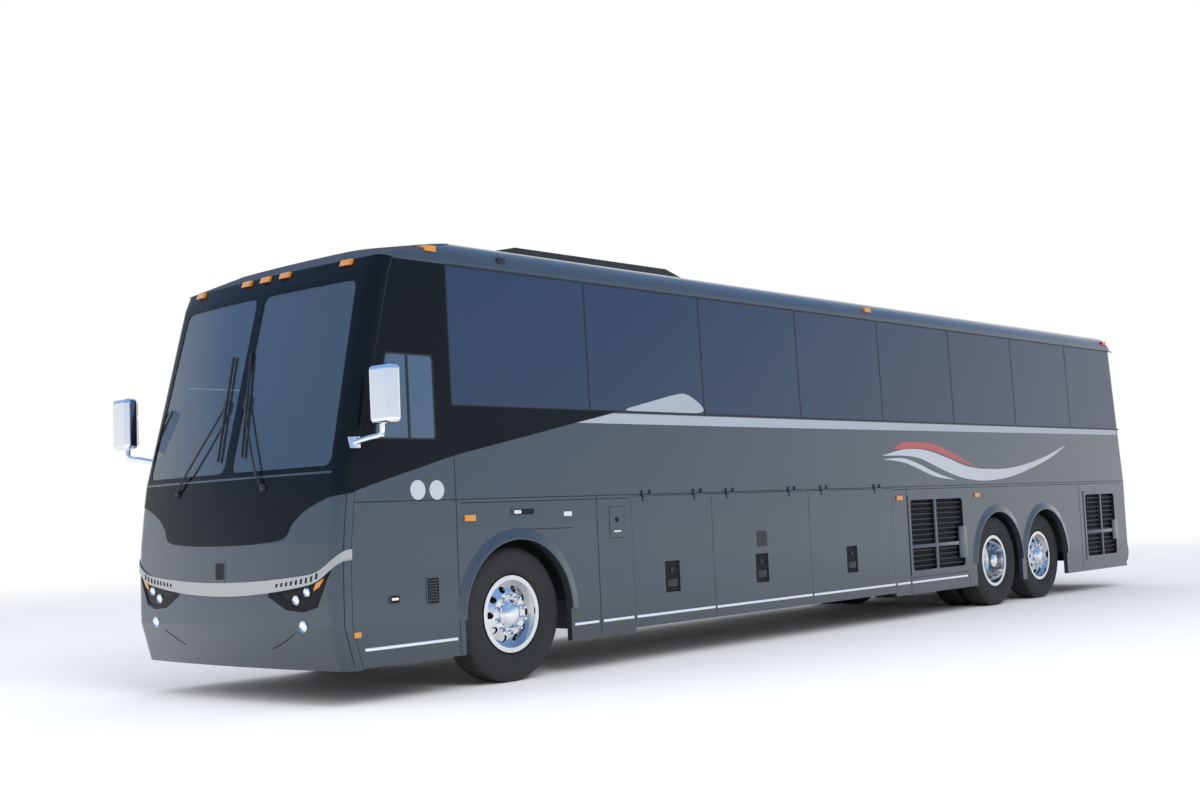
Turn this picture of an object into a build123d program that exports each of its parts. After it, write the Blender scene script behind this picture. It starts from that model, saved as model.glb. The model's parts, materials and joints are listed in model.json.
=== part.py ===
"""A three-axle touring coach: hollow body, glazing, running gear, doors and lids.

Frame: +X forward, +Y to the coach's left, +Z up, the ground at Z = 0 and the
origin under the middle of the coach. All sizes are in millimetres.
"""
import os
from math import hypot, sqrt

from build123d import *

# Body shell
LENGTH = 13745.0
WIDTH = 2590.0
HALF_L = LENGTH / 2
HALF_W = WIDTH / 2
TAIL = -HALF_L
SKIRT_Z = 265.0
BELT_Z = 1416.0
CANT_Z = 3215.0
EAVES_Z = CANT_Z + 170.0
ROOF_Z = EAVES_Z + 75.0
TUMBLEHOME = 40.0
ROOF_CORNER = 190.0
WALL = 50.0
ROOF_WALL = 60.0
PANEL_GAP = 4.0
SEAT_GAP = 0.3

# Front cap: plan curve, depth back to its seam, and setback of the nose with height
TRIM_PROUD = 10.0
FRONT_ARC = 11000.0
FRONT_CORNER = 110.0
END_BEND = FRONT_ARC - sqrt((FRONT_ARC - FRONT_CORNER) ** 2 - (HALF_W - FRONT_CORNER) ** 2)
CAP_DEPTH = END_BEND + 25.3
FRONT_FOOT_Z = 255.0
SCREEN_FOOT_Z = 1640.0
SCREEN_HEAD_Z = CANT_Z - 125.0
# columns: height, setback from the foremost line
FRONT_PROFILE = (
    (FRONT_FOOT_Z, 95.0),
    (560.0, 10.0),
    (900.0, 10.0),
    (1150.0, 20.0),
    (BELT_Z, 50.0),
    (SCREEN_FOOT_Z, 82.0),
    (SCREEN_HEAD_Z, 455.0),
    (CANT_Z, 508.0),
)
SCREEN_FOOT_Y = HALF_W - 90.0
SCREEN_HEAD_Y = HALF_W - 165.0
SCREEN_POST = 30.0
SCREEN_MARGIN = 12.0
SCREEN_ROUND = 50.0
GLASS = 10.0
FLUSH = 2.0

# Bright band across the nose: height at the middle, at the knee and at the corner
BAND_KNEE_Y = HALF_W - 295.0
BAND_END_Y = HALF_W + 15.0
BAND_HEIGHTS = (826.0, 890.0, 1070.0)
BAND_HALF_HEIGHTS = (50.0, 36.0, 32.0)

# Rear cap
REAR_DEPTH = END_BEND + 5.3
REAR_FOOT_Z = 330.0
REAR_STEP = 22.0
# columns: height, setback from the rearmost line
REAR_PROFILE = (
    (REAR_FOOT_Z, 60.0),
    (420.0, 0.0),
    (520.0, 0.0),
    (545.0, REAR_STEP),
    (BELT_Z, REAR_STEP),
    (CANT_Z, 150.0),
)
# Roof ends, columns: rise over the cant, then setback and round of the corners in plan, front and rear
ROOF_ENDS = (
    (0.0, 0.0, FRONT_CORNER, 0.0, FRONT_CORNER),
    (120.0, 230.0, 700.0, 77.0, 187.0),
    (295.0, 1100.0, 1100.0, 190.0, 300.0),
)
SLOPE_INSET = 3.0

# Side glazing; the last bay runs on under the rear cap's raked seam
BAYS = 8
FIRST_BAY_X = HALF_L - 1212.5
LAST_BAY_X = TAIL + 172.5
BAY_PITCH = (FIRST_BAY_X - LAST_BAY_X) / BAYS
WINDOW_Z = 2125.0
WINDOW_TOP_Z = CANT_Z - 15.0
PILLAR = 80.0
WINDOW_ROUND = 40.0
# Driver's window, a quadrilateral in X and Z
DRIVER_WINDOW = (
    (HALF_L - 1042.5, 1865.0),
    (HALF_L - 452.5, 1865.0),
    (HALF_L - 582.5, 2500.0),
    (HALF_L - 1042.5, 2500.0),
)

# Wheels and axles
FRONT_AXLE_X = HALF_L - 1842.5
DRIVE_AXLE_X = TAIL + 3927.5
TAG_AXLE_X = TAIL + 2677.5
TYRE_RADIUS = 522.0
TYRE_WIDTH = 292.0
# columns: drop from the tread, or rise over the flange; setback from the tyre's widest line
TYRE_SHOULDER = (42.0, 8.0)
TYRE_BULGE_DROP = 95.0
TYRE_FOOT = (60.0, 6.0)
TYRE_LIP = 6.0
RIM_RADIUS = 276.0
RIM_FLANGE = 298.0
RIM_EDGE = 14.0
RIM_WALL = 14.0
RIM_WIDTH = 236.0
BEAD_INSET = 18.0
FRONT_WHEEL_Y = HALF_W - 213.0
TAG_WHEEL_Y = HALF_W - 225.0
TWIN_OUTER_Y = HALF_W - 195.0
TWIN_PITCH = 345.0
KINGPIN_INSET = 66.0
KINGPIN_RADIUS = 24.0
KINGPIN_BOSS = 53.0
KNUCKLE_HALF = 42.0
KNUCKLE_ARM = 34.0
KNUCKLE_REACH = 100.0
KNUCKLE_WEB = 36.0
FORK_GAP = 3.0
HUB_RADIUS = 112.0
HUB_CAP_TAPER = 30.0
HUB_CAP_WALL = 12.0
SPINDLE_RADIUS = 50.0
SPINDLE_PAST = 105.0
AXLE_STUB = 60.0
RUNNING_FIT = 0.4
# Single wheel's hub: inner face, outer face and cap height, along the axle from the tyre's middle
HUB = (40.0, 102.0, 26.0)
# The same for the twin wheel, from the middle between its tyres
TWIN_HUB = (-60.0, 90.0, 60.0)
DISC_THICK = 22.0
DISC_FACE = 96.0
DISC_DISH = 52.0
DISC_KNEE = 165.0
DISC_ROOT = 4.0
TWIN_CLAMP = 24.0
TWIN_DISH = 60.0
TWIN_KNEES = (170.0, 185.0)
HAND_HOLES = 10
HAND_HOLE_RADIUS = 27.0
HAND_HOLE_CIRCLE = 198.0
ARCH_FRONT = 575.0
ARCH_REAR = 572.0
ARCH_LINER = 612.0
LINER_WALL = 12.0
LINER_GAP = 60.0
# Flares round the arches: how far they stand out, their flat lip and their width
FLARE_PROUD = 22.0
FLARE_LIP = 14.0
FLARE_WIDE = 88.0
FLARE_ROOT = 6.0

# Subframes and axle beams
RAIL_WIDE = 70.0
RAIL_FOOT_Z = 680.0
RAIL_HEAD_Z = 840.0
RAIL_STEP = 20.0
FRONT_RAIL_Y = 230.0
REAR_RAIL_Y = TWIN_OUTER_Y - TWIN_PITCH - TYRE_WIDTH / 2 - RAIL_WIDE - 109.0
BEAM_Z = 500.0
BEAM_TALL = 110.0
BEAM_WIDE = 100.0
AXLE_TUBE = 80.0
GEAR_HOUSING = 176.0
BELLOWS = 110.0
TOW_EYE_X = HALF_L - 282.5
TOW_EYE_Z = 400.0
TOW_EYE_HALF = 50.0
TOW_EYE_PLATE = 30.0
TOW_EYE_BORE = 17.0
JACK_PAD_X = HALF_L - 1012.5
JACK_PAD_HALF = 60.0
JACK_PAD_DROP = 20.0
# Engine block: rear X, front X, half width, foot and head
ENGINE = (TAIL + 372.5, TAIL + 1572.5, REAR_RAIL_Y - 30.0, 530.0, 1330.0)

# Floors and holds
CABIN_FLOOR_Z = 1450.0
FLOOR_THICK = 60.0
HOLD_FLOOR_Z = 380.0
HOLD_WALL = 40.0
PLATFORM_Z = 1180.0
PLATFORM_Y = -330.0
STEP_COUNT = 4
STEP_BOTTOM_Z = 400.0
STEP_SETBACK = 120.0

# Doors
DOOR_THICK = 40.0
BAY_DOOR_FOOT_Z = 300.0
BAY_DOOR_HEAD_Z = 1404.0
DOOR_GAP = 5.0
HOLD_FRONT_X = HALF_L - 2782.5
HOLD_REAR_X = TAIL + 5992.5
BAY_DOORS_FRONT_X = HALF_L - 3207.5
BAY_DOORS_REAR_X = TAIL + 6307.5
BAY_DOORS_RUN = BAY_DOORS_FRONT_X - BAY_DOORS_REAR_X
# columns: share of the run at which a hold door starts, at which it ends, and at its handle's middle
BAY_DOOR_SHARES = (
    (0.0, 111 / 423, 51.5 / 423),
    (111 / 423, 266.5 / 423, 184.5 / 423),
    (266.5 / 423, 1.0, 340.5 / 423),
)
# columns: front edge X, rear edge X, handle centre X
BAY_DOORS = [tuple(BAY_DOORS_FRONT_X - share * BAY_DOORS_RUN for share in row) for row in BAY_DOOR_SHARES]
# Lift hinges: axis outside the skin and above the door's head, barrel, pin and plates
HINGE_OUT = 12.0
HINGE_RISE = 4.0
HINGE_LONG = 96.0
HINGE_BARREL = 9.0
HINGE_PIN = 5.0
HINGE_EAR = 12.0
HINGE_LEAF = 48.0
HINGE_PLAY = 2.0
HINGE_SHARES = (0.18, 0.82)
ENGINE_HINGE_Y = 250.0
HANDLE_SIZE = (200.0, 270.0, 18.0)
HANDLE_Z = 700.0
# Entry door outline in X and Z, and the swing arm that carries it
ENTRY_REAR_X = HALF_L - 1162.5
ENTRY_FRONT_X = HALF_L - 332.5
ENTRY_DOOR = (
    (ENTRY_REAR_X, 330.0),
    (ENTRY_FRONT_X, 330.0),
    (ENTRY_FRONT_X, 1560.0),
    (ENTRY_FRONT_X - 230.0, 2450.0),
    (ENTRY_REAR_X, 2450.0),
)
ENTRY_WINDOW_FRAME = 88.0
ENTRY_WINDOW_FOOT_Z = 620.0
ARM_PIVOT_X = ENTRY_FRONT_X - 100.0
ARM_TIP_X = ENTRY_REAR_X + 70.0
ARM_Y = 90.0 - HALF_W
ARM_Z = 1100.0
ARM_HEIGHT = 60.0
ARM_HALF = 16.0
ARM_EYE = 24.0
ARM_PIN = 14.0
BRACKET_PLATE = 12.0
BRACKET_HALF = 20.0
BRACKET_REACH = 60.0
# Engine door: width, foot and head; the two bolt holes for a number plate are on it
ENGINE_DOOR = (WIDTH - 830.0, 560.0, 1330.0)
PLATE_SPACING = 177.8
PLATE_HOLE = 3.5
PLATE_Z = 760.0
# Rear lamps: gap beside the engine door, inset from the side, foot and head
TAIL_LAMP = (60.0, 150.0, 700.0, 1250.0)

# Outlines on the nose for the coach's left, columns: inset from the side, height
HEADLAMP_INSETS = (
    (605.0, 796.0), (445.0, 705.0), (335.0, 690.0), (210.0, 722.0), (90.0, 925.0), (295.0, 832.0),
)
HEADLAMP = [(HALF_W - inset, z) for inset, z in HEADLAMP_INSETS]
LAMP_RECESS = 6.0
FOG_LAMP = (HALF_W - 345.0, 570.0, 42.0)

# Grilles in the side walls: columns rear X, front X, foot Z, head Z
GRILLES = (
    (TAIL + 4746.5, TAIL + 5968.5, 479.0, 1309.0),
    (TAIL + 523.5, TAIL + 1504.5, 419.0, 1286.0),
)
GRILLE_EDGE = 22.0
GRILLE_RECESS = 4.0
SLAT_PITCH = 60.0
SLAT_THICK = 10.0
SLAT_RECESS = 8.0

# Small lamps on the body: each lens is long, wide and tall
LENS = (110.0, 45.0, 28.0)
HEADER_LAMP_Y = (345.0 - HALF_W, -250.0, 0.0, 250.0, HALF_W - 345.0)
HEADER_LAMP_Z = CANT_Z - 26.0
# columns: X, height
SIDE_LAMPS = ((HALF_L - 1340.5, 1277.0), (TAIL + 6152.5, 1300.0), (TAIL + 4414.5, 1302.0))
SHOULDER_LAMP_X = (HALF_L - 1079.5, TAIL + 6490.5)
SHOULDER_LAMP_Z = CANT_Z + 95.0
SHOULDER_LAMP_Y = HALF_W - 43.0
REAR_SHOULDER_LAMP_X = TAIL + 400.0

# Mirrors
MIRROR_SIZE = (120.0, 240.0, 420.0)
MIRROR_Y = HALF_W + 225.0
MIRROR_Z = 2165.0
MIRROR_ARM = 26.0
# columns: side, head centre X, arm root X
MIRROR_PLACES = ((1, HALF_L - 372.5, HALF_L - 282.5), (-1, HALF_L - 142.5, HALF_L - 272.5))
MIRROR_ARM_Z = 1840.0
MIRROR_PAD = 40.0
MIRROR_STEM_IN = 40.0
MIRROR_STEM_UP = 20.0

# Seats: rows on both sides of the aisle, counted from the room between the first and the rear wall
SEAT_PITCH = 830.0
FIRST_ROW_X = FIRST_BAY_X - 1010.0
LAST_ROW_X = TAIL + 1500.0
SEAT_ROWS = int((FIRST_ROW_X - LAST_ROW_X) / SEAT_PITCH) + 1
AISLE_HALF = 225.0
SEAT_WIDTH = HALF_W - AISLE_HALF - 90.0
SEAT_Y = AISLE_HALF + SEAT_WIDTH / 2
# Seat from the side, columns: X from the seat's middle, height over the floor
SEAT_PROFILE = (
    (-230.0, 360.0), (230.0, 380.0), (240.0, 470.0), (-130.0, 450.0),
    (-290.0, 1120.0), (-390.0, 1110.0), (-260.0, 400.0),
)
# Pedestal: rear X, front X, half width, height
PEDESTAL = (-180.0, 120.0, 60.0, 400.0)
DRIVER_X = FIRST_BAY_X + 300.0
DRIVER_Y = HALF_W - 655.0
DRIVER_HALF = 250.0
DRIVER_PEDESTAL_HALF = 100.0

# Dashboard: depth, brow's setback and height, top, knee setback, and the steering wheel
DASH_DEEP = 300.0
DASH_BROW = (80.0, 1480.0)
DASH_TOP_Z = 1600.0
DASH_KNEE = 160.0
DASH_END_GAP = 60.0
# columns: X behind the dashboard's edge, height
STEERING_HUB = (110.0, 1830.0)
STEERING_FOOT = (-60.0, 1520.0)
STEERING_COLUMN = 35.0
STEERING_RING = (225.0, 16.0)
STEERING_SPOKE = (440.0, 40.0, 14.0)

# Wipers: place beside the middle, foot under and head over the windscreen's foot, bar and pivot
WIPER_Y = 130.0
WIPER_FOOT = 20.0
WIPER_HEAD = 900.0
WIPER_OFF = (14.0, 20.0)
WIPER_BAR = 9.0
WIPER_PIVOT = (22.0, -11.0, 4.0)

# Roof pod: columns X and height of its side outline, then its half width
POD_SINK = 40.0
POD_OUTLINE = (
    (HALF_L - 5422.5, ROOF_Z - POD_SINK),
    (HALF_L - 1872.5, ROOF_Z - POD_SINK),
    (HALF_L - 2672.5, ROOF_Z + 135.0),
    (HALF_L - 4722.5, ROOF_Z + 145.0),
)
POD_HALF = 560.0

# Subframes, columns: rear X, front X, rails' inner Y, cross members' X
SUBFRAMES = (
    (HOLD_FRONT_X, HALF_L - 232.5, FRONT_RAIL_Y,
     (HOLD_FRONT_X + 210.0, JACK_PAD_X - 200.0, TOW_EYE_X - 110.0)),
    (TAIL + 312.5, HOLD_REAR_X, REAR_RAIL_Y,
     (HOLD_REAR_X - 220.0, (DRIVE_AXLE_X + TAG_AXLE_X) / 2, TAG_AXLE_X - 905.0)),
)


def lerp(table, height):
    """Second column of a two-column table at the given height."""
    for (z0, v0), (z1, v1) in zip(table, table[1:]):
        if height <= z1:
            return v0 + (v1 - v0) * (height - z0) / (z1 - z0)
    return table[-1][1]


def nose(height):
    """X of the front skin on the centre line."""
    return HALF_L - lerp(FRONT_PROFILE, height)


def half_width(height):
    """Half the body's width at a height: straight to the belt, leaning in above it."""
    lean = max(0.0, height - BELT_Z) / (CANT_Z - BELT_Z)
    return HALF_W - TUMBLEHOME * lean


def along_x(points, x0, x1, rounding=0.0):
    """Prism of a Y-Z outline between two X planes."""
    face = make_face(Polyline(*points, close=True))
    if rounding:
        face = fillet(face.vertices(), rounding)
    return Pos(x0, 0, 0) * extrude(Plane.YZ * face, amount=x1 - x0)


def along_y(points, y0, y1, rounding=0.0):
    """Prism of an X-Z outline between two Y planes."""
    face = make_face(Polyline(*[(-x, z) for x, z in points], close=True))
    if rounding:
        face = fillet(face.vertices(), rounding)
    plane = Plane(origin=(0, y0, 0), x_dir=(-1, 0, 0), z_dir=(0, 1, 0))
    return extrude(plane * face, amount=y1 - y0)


def block(x0, x1, y0, y1, z0, z1):
    """Plain block between six planes."""
    return Pos((x0 + x1) / 2, (y0 + y1) / 2, (z0 + z1) / 2) * Box(x1 - x0, y1 - y0, z1 - z0)


def rod(radius, y0, y1, x, z):
    """Round bar along Y."""
    return Pos(x, (y0 + y1) / 2, z) * Rot(90, 0, 0) * Cylinder(radius, y1 - y0)


def bar(start, end, radius):
    """Round bar between two points."""
    run = end - start
    return Plane(start, z_dir=run) * Pos(0, 0, run.length / 2) * Cylinder(radius, run.length)


def mirror_y(shape):
    """Copy on the other side of the coach."""
    return mirror(shape, Plane.XZ)


def rectangle(x0, x1, z0, z1):
    """Four corners of an upright rectangle in X and Z."""
    return (x0, z0), (x1, z0), (x1, z1), (x0, z1)


def end_path(tip, half, depth, inset, rounding=FRONT_CORNER):
    """Edges round one end of the body in plan, from its left seam to its right one."""
    arc_x = tip - FRONT_ARC
    arc = FRONT_ARC - inset
    corner = rounding - inset
    centre_y = half - rounding
    centre_x = arc_x + sqrt((FRONT_ARC - rounding) ** 2 - centre_y**2)
    reach = arc / (FRONT_ARC - rounding)
    touch = (arc_x + (centre_x - arc_x) * reach, centre_y * reach)
    bend = corner / hypot(1, 1)
    side = half - inset
    left = [
        ((tip - depth, side), (centre_x, side), None),
        ((centre_x, side), touch, (centre_x + bend, centre_y + bend)),
    ]
    front = (touch, (touch[0], -touch[1]), (tip - inset, 0))
    right = [
        ((touch[0], -touch[1]), (centre_x, -side), (centre_x + bend, -centre_y - bend)),
        ((centre_x, -side), (tip - depth, -side), None),
    ]
    return [*left, front, *right]


def as_edges(path, z):
    """Lines and arcs of a plan path at one height."""
    edges = []
    for start, end, middle in path:
        p0 = (*start, z)
        p1 = (*end, z)
        edges.append(Edge.make_three_point_arc(p0, (*middle, z), p1) if middle else Edge.make_line(p0, p1))
    return edges


def end_shell(profile, depth, outer, inner):
    """Shell round the front end, between two insets, through a table of heights and setbacks."""
    faces = []
    for z, setback in profile:
        tip = HALF_L - setback
        half = half_width(z)
        outside = end_path(tip, half, depth, outer)
        inside = end_path(tip, half, depth, inner)
        closing = [(outside[-1][1], inside[-1][1], None), (inside[0][0], outside[0][0], None)]
        back = [(end, start, middle) for start, end, middle in reversed(inside)]
        faces.append(Face(Wire(as_edges([*outside, closing[0], *back, closing[1]], z))))
    return loft(faces, ruled=True)


def front_shell(outer, inner):
    """Shell round the nose between two insets."""
    return end_shell(FRONT_PROFILE, CAP_DEPTH, outer, inner)


def rear_shell(outer, inner):
    """Shell round the tail between two insets."""
    return mirror(end_shell(REAR_PROFILE, REAR_DEPTH, outer, inner), Plane.YZ)


def side_slab(outer, inner):
    """Left side skin between two insets, from one raked seam to the other."""
    rows = ((SKIRT_Z, 0.0), (BELT_Z, 0.0), (CANT_Z, TUMBLEHOME))
    outside = [(HALF_W - lean - outer, z) for z, lean in rows]
    inside = [(HALF_W - lean - inner, z) for z, lean in reversed(rows)]
    slab = along_x([*outside, *inside], -HALF_L, HALF_L)
    front = [(HALF_L - setback - CAP_DEPTH - PANEL_GAP, z) for z, setback in FRONT_PROFILE]
    rear = [(TAIL + setback + REAR_DEPTH + PANEL_GAP, z) for z, setback in reversed(REAR_PROFILE)]
    foot = (rear[-1][0], FRONT_FOOT_Z)
    return slab & along_y([*front, *rear, foot], 0, WIDTH)


def body_section(inset):
    """Cross-section of the body in Y and Z, from the belt up to the crowned roof."""
    half = half_width(CANT_Z) - inset
    eaves = EAVES_Z - inset
    lines = Polyline((-half, eaves), (-half, BELT_Z), (half, BELT_Z), (half, eaves))
    crown = ThreePointArc((half, eaves), (0, ROOF_Z - inset), (-half, eaves))
    face = make_face([lines, crown])
    tops = face.vertices().sort_by(Axis.Y)[-2:]
    return fillet(tops, ROOF_CORNER - inset)


def roof_plan(z, front, rear, inset, rounds):
    """Plan outline of the roof at one height, its corners rounded at both ends."""
    ahead = end_path(front, HALF_W, CAP_DEPTH, inset, rounds[0])
    tail = end_path(-rear, HALF_W, REAR_DEPTH, inset, rounds[1])
    behind = []
    for (x0, y0), (x1, y1), middle in reversed(tail):
        behind.append(((-x1, y1), (-x0, y0), middle and (-middle[0], middle[1])))
    ahead[-1] = (ahead[-1][0], behind[1][0], None)
    ahead[0] = (behind[-2][1], ahead[0][1], None)
    return Face(Wire(as_edges([*ahead, *behind[1:-1]], z)))


def roof_solid(inset, bottom):
    """Roof envelope: the crowned section cut to ends that slope and round off towards the crown."""
    plans = []
    for rise, front_in, front_round, rear_in, rear_round in ROOF_ENDS:
        slope_in = SLOPE_INSET * inset if rise else 0
        front = nose(CANT_Z) - front_in - slope_in
        rear = TAIL + lerp(REAR_PROFILE, CANT_Z) + rear_in
        z = CANT_Z + rise if rise else bottom
        plans.append(roof_plan(z, front, rear, inset, (front_round, rear_round)))
    section = Pos(-LENGTH, 0, 0) * extrude(Plane.YZ * body_section(inset), amount=2 * LENGTH)
    return section & loft(plans, ruled=True)


def band_line(side):
    """Heights of the bright band's line: its middle, or its lower or upper edge."""
    return [z + side * half for z, half in zip(BAND_HEIGHTS, BAND_HALF_HEIGHTS)]


def band_curve(heights):
    """Smooth line across the nose in Y and Z, rising to both corners."""
    middle, knee, end = heights
    bow = ThreePointArc((-BAND_KNEE_Y, knee), (0, middle), (BAND_KNEE_Y, knee))
    right = TangentArc((BAND_KNEE_Y, knee), (BAND_END_Y, end), tangent=bow % 1)
    left = mirror(right, Plane.YZ)
    return [left, bow, right]


def under_band(heights):
    """Block ahead of the coach under a line across the nose."""
    end = heights[2]
    base = Polyline((BAND_END_Y, end), (BAND_END_Y, 0), (-BAND_END_Y, 0), (-BAND_END_Y, end))
    face = make_face([*band_curve(heights), base])
    return Pos(HALF_L - HALF_W, 0, 0) * extrude(Plane.YZ * face, amount=WIDTH)


def screen_panes(margin):
    """Two prisms of the windscreen's panes, narrowed by a margin."""
    foot = SCREEN_FOOT_Z + SCREEN_MARGIN + margin
    head = SCREEN_HEAD_Z - SCREEN_MARGIN - margin
    post = SCREEN_POST / 2 + margin
    outline = ((post, foot), (SCREEN_FOOT_Y - margin, foot), (SCREEN_HEAD_Y - margin, head), (post, head))
    pane = along_x(outline, HALF_L - HALF_W, HALF_L + 1, SCREEN_ROUND - margin)
    return pane, mirror_y(pane)


def nose_prism(outline, margin):
    """Prisms of a lamp's outline on both sides of the nose."""
    face = offset(make_face(Polyline(*outline, close=True)), -margin, kind=Kind.INTERSECTION)
    prism = Pos(HALF_L - HALF_W, 0, 0) * extrude(Plane.YZ * face, amount=WIDTH)
    return prism, mirror_y(prism)


def fog_rods(margin):
    """Round bars at the two fog lamps, narrowed by a margin."""
    y, z, radius = FOG_LAMP
    left = Pos(HALF_L, y, z) * Rot(0, 90, 0) * Cylinder(radius - margin, WIDTH)
    return left, mirror_y(left)


def front_parts():
    """Front cap, bumper, band, windscreen and headlamps."""
    shell = front_shell(0, WALL)
    lower = under_band(BAND_HEIGHTS)
    bumper = shell & lower
    cap = shell - lower
    for opening in screen_panes(0):
        cap -= opening
    for opening in nose_prism(HEADLAMP, 0):
        bumper -= opening
    for opening in fog_rods(0):
        bumper -= opening
    band = front_shell(-TRIM_PROUD, -SEAT_GAP) & (under_band(band_line(1)) - under_band(band_line(-1)))
    glass = [front_shell(FLUSH, FLUSH + GLASS) & pane for pane in screen_panes(SEAT_GAP)]
    housing = front_shell(LAMP_RECESS, WALL)
    lamps = [housing & prism for prism in nose_prism(HEADLAMP, SEAT_GAP)]
    lamps += [housing & rod_part for rod_part in fog_rods(SEAT_GAP)]
    return {
        "front_cap": cap,
        "front_bumper": bumper,
        "nose_band": band,
        "windscreen": Compound(children=glass),
        "headlamps": Compound(children=lamps),
    }


def bay_edges(index):
    """Front and rear X of one window bay."""
    front = FIRST_BAY_X - index * BAY_PITCH
    return front, front - BAY_PITCH


def rear_seam(height):
    """X of the rear cap's seam at a height."""
    return TAIL + lerp(REAR_PROFILE, height) + REAR_DEPTH


def arch_cut(x, radius):
    """Opening of a wheel arch through the left side."""
    y0 = HALF_W - 4 * WALL
    y1 = HALF_W + 2 * FLARE_PROUD
    return rod(radius, y0, y1, x, TYRE_RADIUS) + block(x - radius, x + radius, y0, y1, 0, TYRE_RADIUS)


def flare(x, radius):
    """Raised lip round the upper half of a wheel arch on the left side."""
    points = (
        (radius, -FLARE_ROOT),
        (radius, FLARE_PROUD),
        (radius + FLARE_LIP, FLARE_PROUD),
        (radius + FLARE_WIDE, 0),
        (radius + FLARE_WIDE, -FLARE_ROOT),
    )
    reach = radius + FLARE_WIDE
    return ring(points, x, HALF_W) - block(x - reach, x + reach, 0, WIDTH, -TYRE_RADIUS, TYRE_RADIUS)


def side_wall():
    """Left side wall with every opening that both sides share."""
    wall = side_slab(0, WALL)
    reach = (HALF_W - 3 * WALL, HALF_W + 1)
    rebate = along_y(rectangle(TAIL, FIRST_BAY_X, WINDOW_Z, WINDOW_TOP_Z), *reach)
    wall -= side_slab(-1, GLASS + SEAT_GAP) & rebate
    for index in range(BAYS):
        front, rear = bay_edges(index)
        rear = max(rear, rear_seam(WINDOW_TOP_Z) + PILLAR)
        edge = PILLAR / 2
        light = rectangle(rear + edge, front - edge, WINDOW_Z + edge, WINDOW_TOP_Z - edge)
        wall -= along_y(light, *reach, WINDOW_ROUND)
    for front, rear, _ in BAY_DOORS:
        wall -= along_y(rectangle(rear, front, 0, BAY_DOOR_HEAD_Z + DOOR_GAP), *reach)
    for x, radius in ((FRONT_AXLE_X, ARCH_FRONT), (DRIVE_AXLE_X, ARCH_REAR), (TAG_AXLE_X, ARCH_REAR)):
        wall += flare(x, radius)
        wall -= arch_cut(x, radius)
    for rear, front, foot, head in GRILLES:
        wall -= along_y(rectangle(rear, front, foot, head), *reach)
    return wall


def side_panes():
    """Left panes of the row of windows, flush with the skin."""
    skin = side_slab(0, GLASS)
    panes = []
    for index in range(BAYS):
        front, rear = bay_edges(index)
        light = rectangle(rear + PANEL_GAP, front - PANEL_GAP, WINDOW_Z + SEAT_GAP, WINDOW_TOP_Z - SEAT_GAP)
        panes.append(skin & along_y(light, 0, WIDTH))
    return panes


def window_prism(outline, margin):
    """Prism of a side window's outline, narrowed by a margin."""
    line = Polyline(*[(-x, z) for x, z in outline], close=True)
    face = offset(make_face(line), -margin, kind=Kind.INTERSECTION)
    plane = Plane(origin=(0, 0, 0), x_dir=(-1, 0, 0), z_dir=(0, 1, 0))
    return extrude(plane * face, amount=WIDTH)


def entry_window():
    """Outline of the entry door's window, a frame's width inside the door."""
    (x0, _), (x1, _), (_, knee), (x2, head), _ = ENTRY_DOOR
    foot = ENTRY_WINDOW_FOOT_Z
    top = head - ENTRY_WINDOW_FRAME
    rear = x0 + ENTRY_WINDOW_FRAME
    front = x1 - ENTRY_WINDOW_FRAME
    return (rear, foot), (front, foot), (front, knee), (x2 - ENTRY_WINDOW_FRAME, top), (rear, top)


def lift_hinge():
    """Fixed ears with their pin and the door's barrel with its leaf, about an axis along X."""
    root = -HINGE_OUT - HINGE_OUT / 2
    long = HINGE_LONG / 2
    end = long + HINGE_EAR
    turned = Rot(0, 90, 0)
    fixed = turned * Cylinder(HINGE_PIN, 2 * end)
    for x0, x1 in ((long, end), (-end, -long)):
        fixed += block(x0, x1, -HINGE_PIN, HINGE_PIN, -HINGE_PIN, HINGE_BARREL)
        fixed += block(x0, x1, root, HINGE_PIN, HINGE_BARREL, HINGE_LEAF)
    reach = long - HINGE_PLAY
    moving = turned * Cylinder(HINGE_BARREL, 2 * reach)
    moving += block(-reach, reach, root, -HINGE_PIN + 1, -HINGE_LEAF, -HINGE_PIN)
    moving -= turned * Cylinder(HINGE_PIN + RUNNING_FIT, 2 * long)
    return fixed, moving


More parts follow.
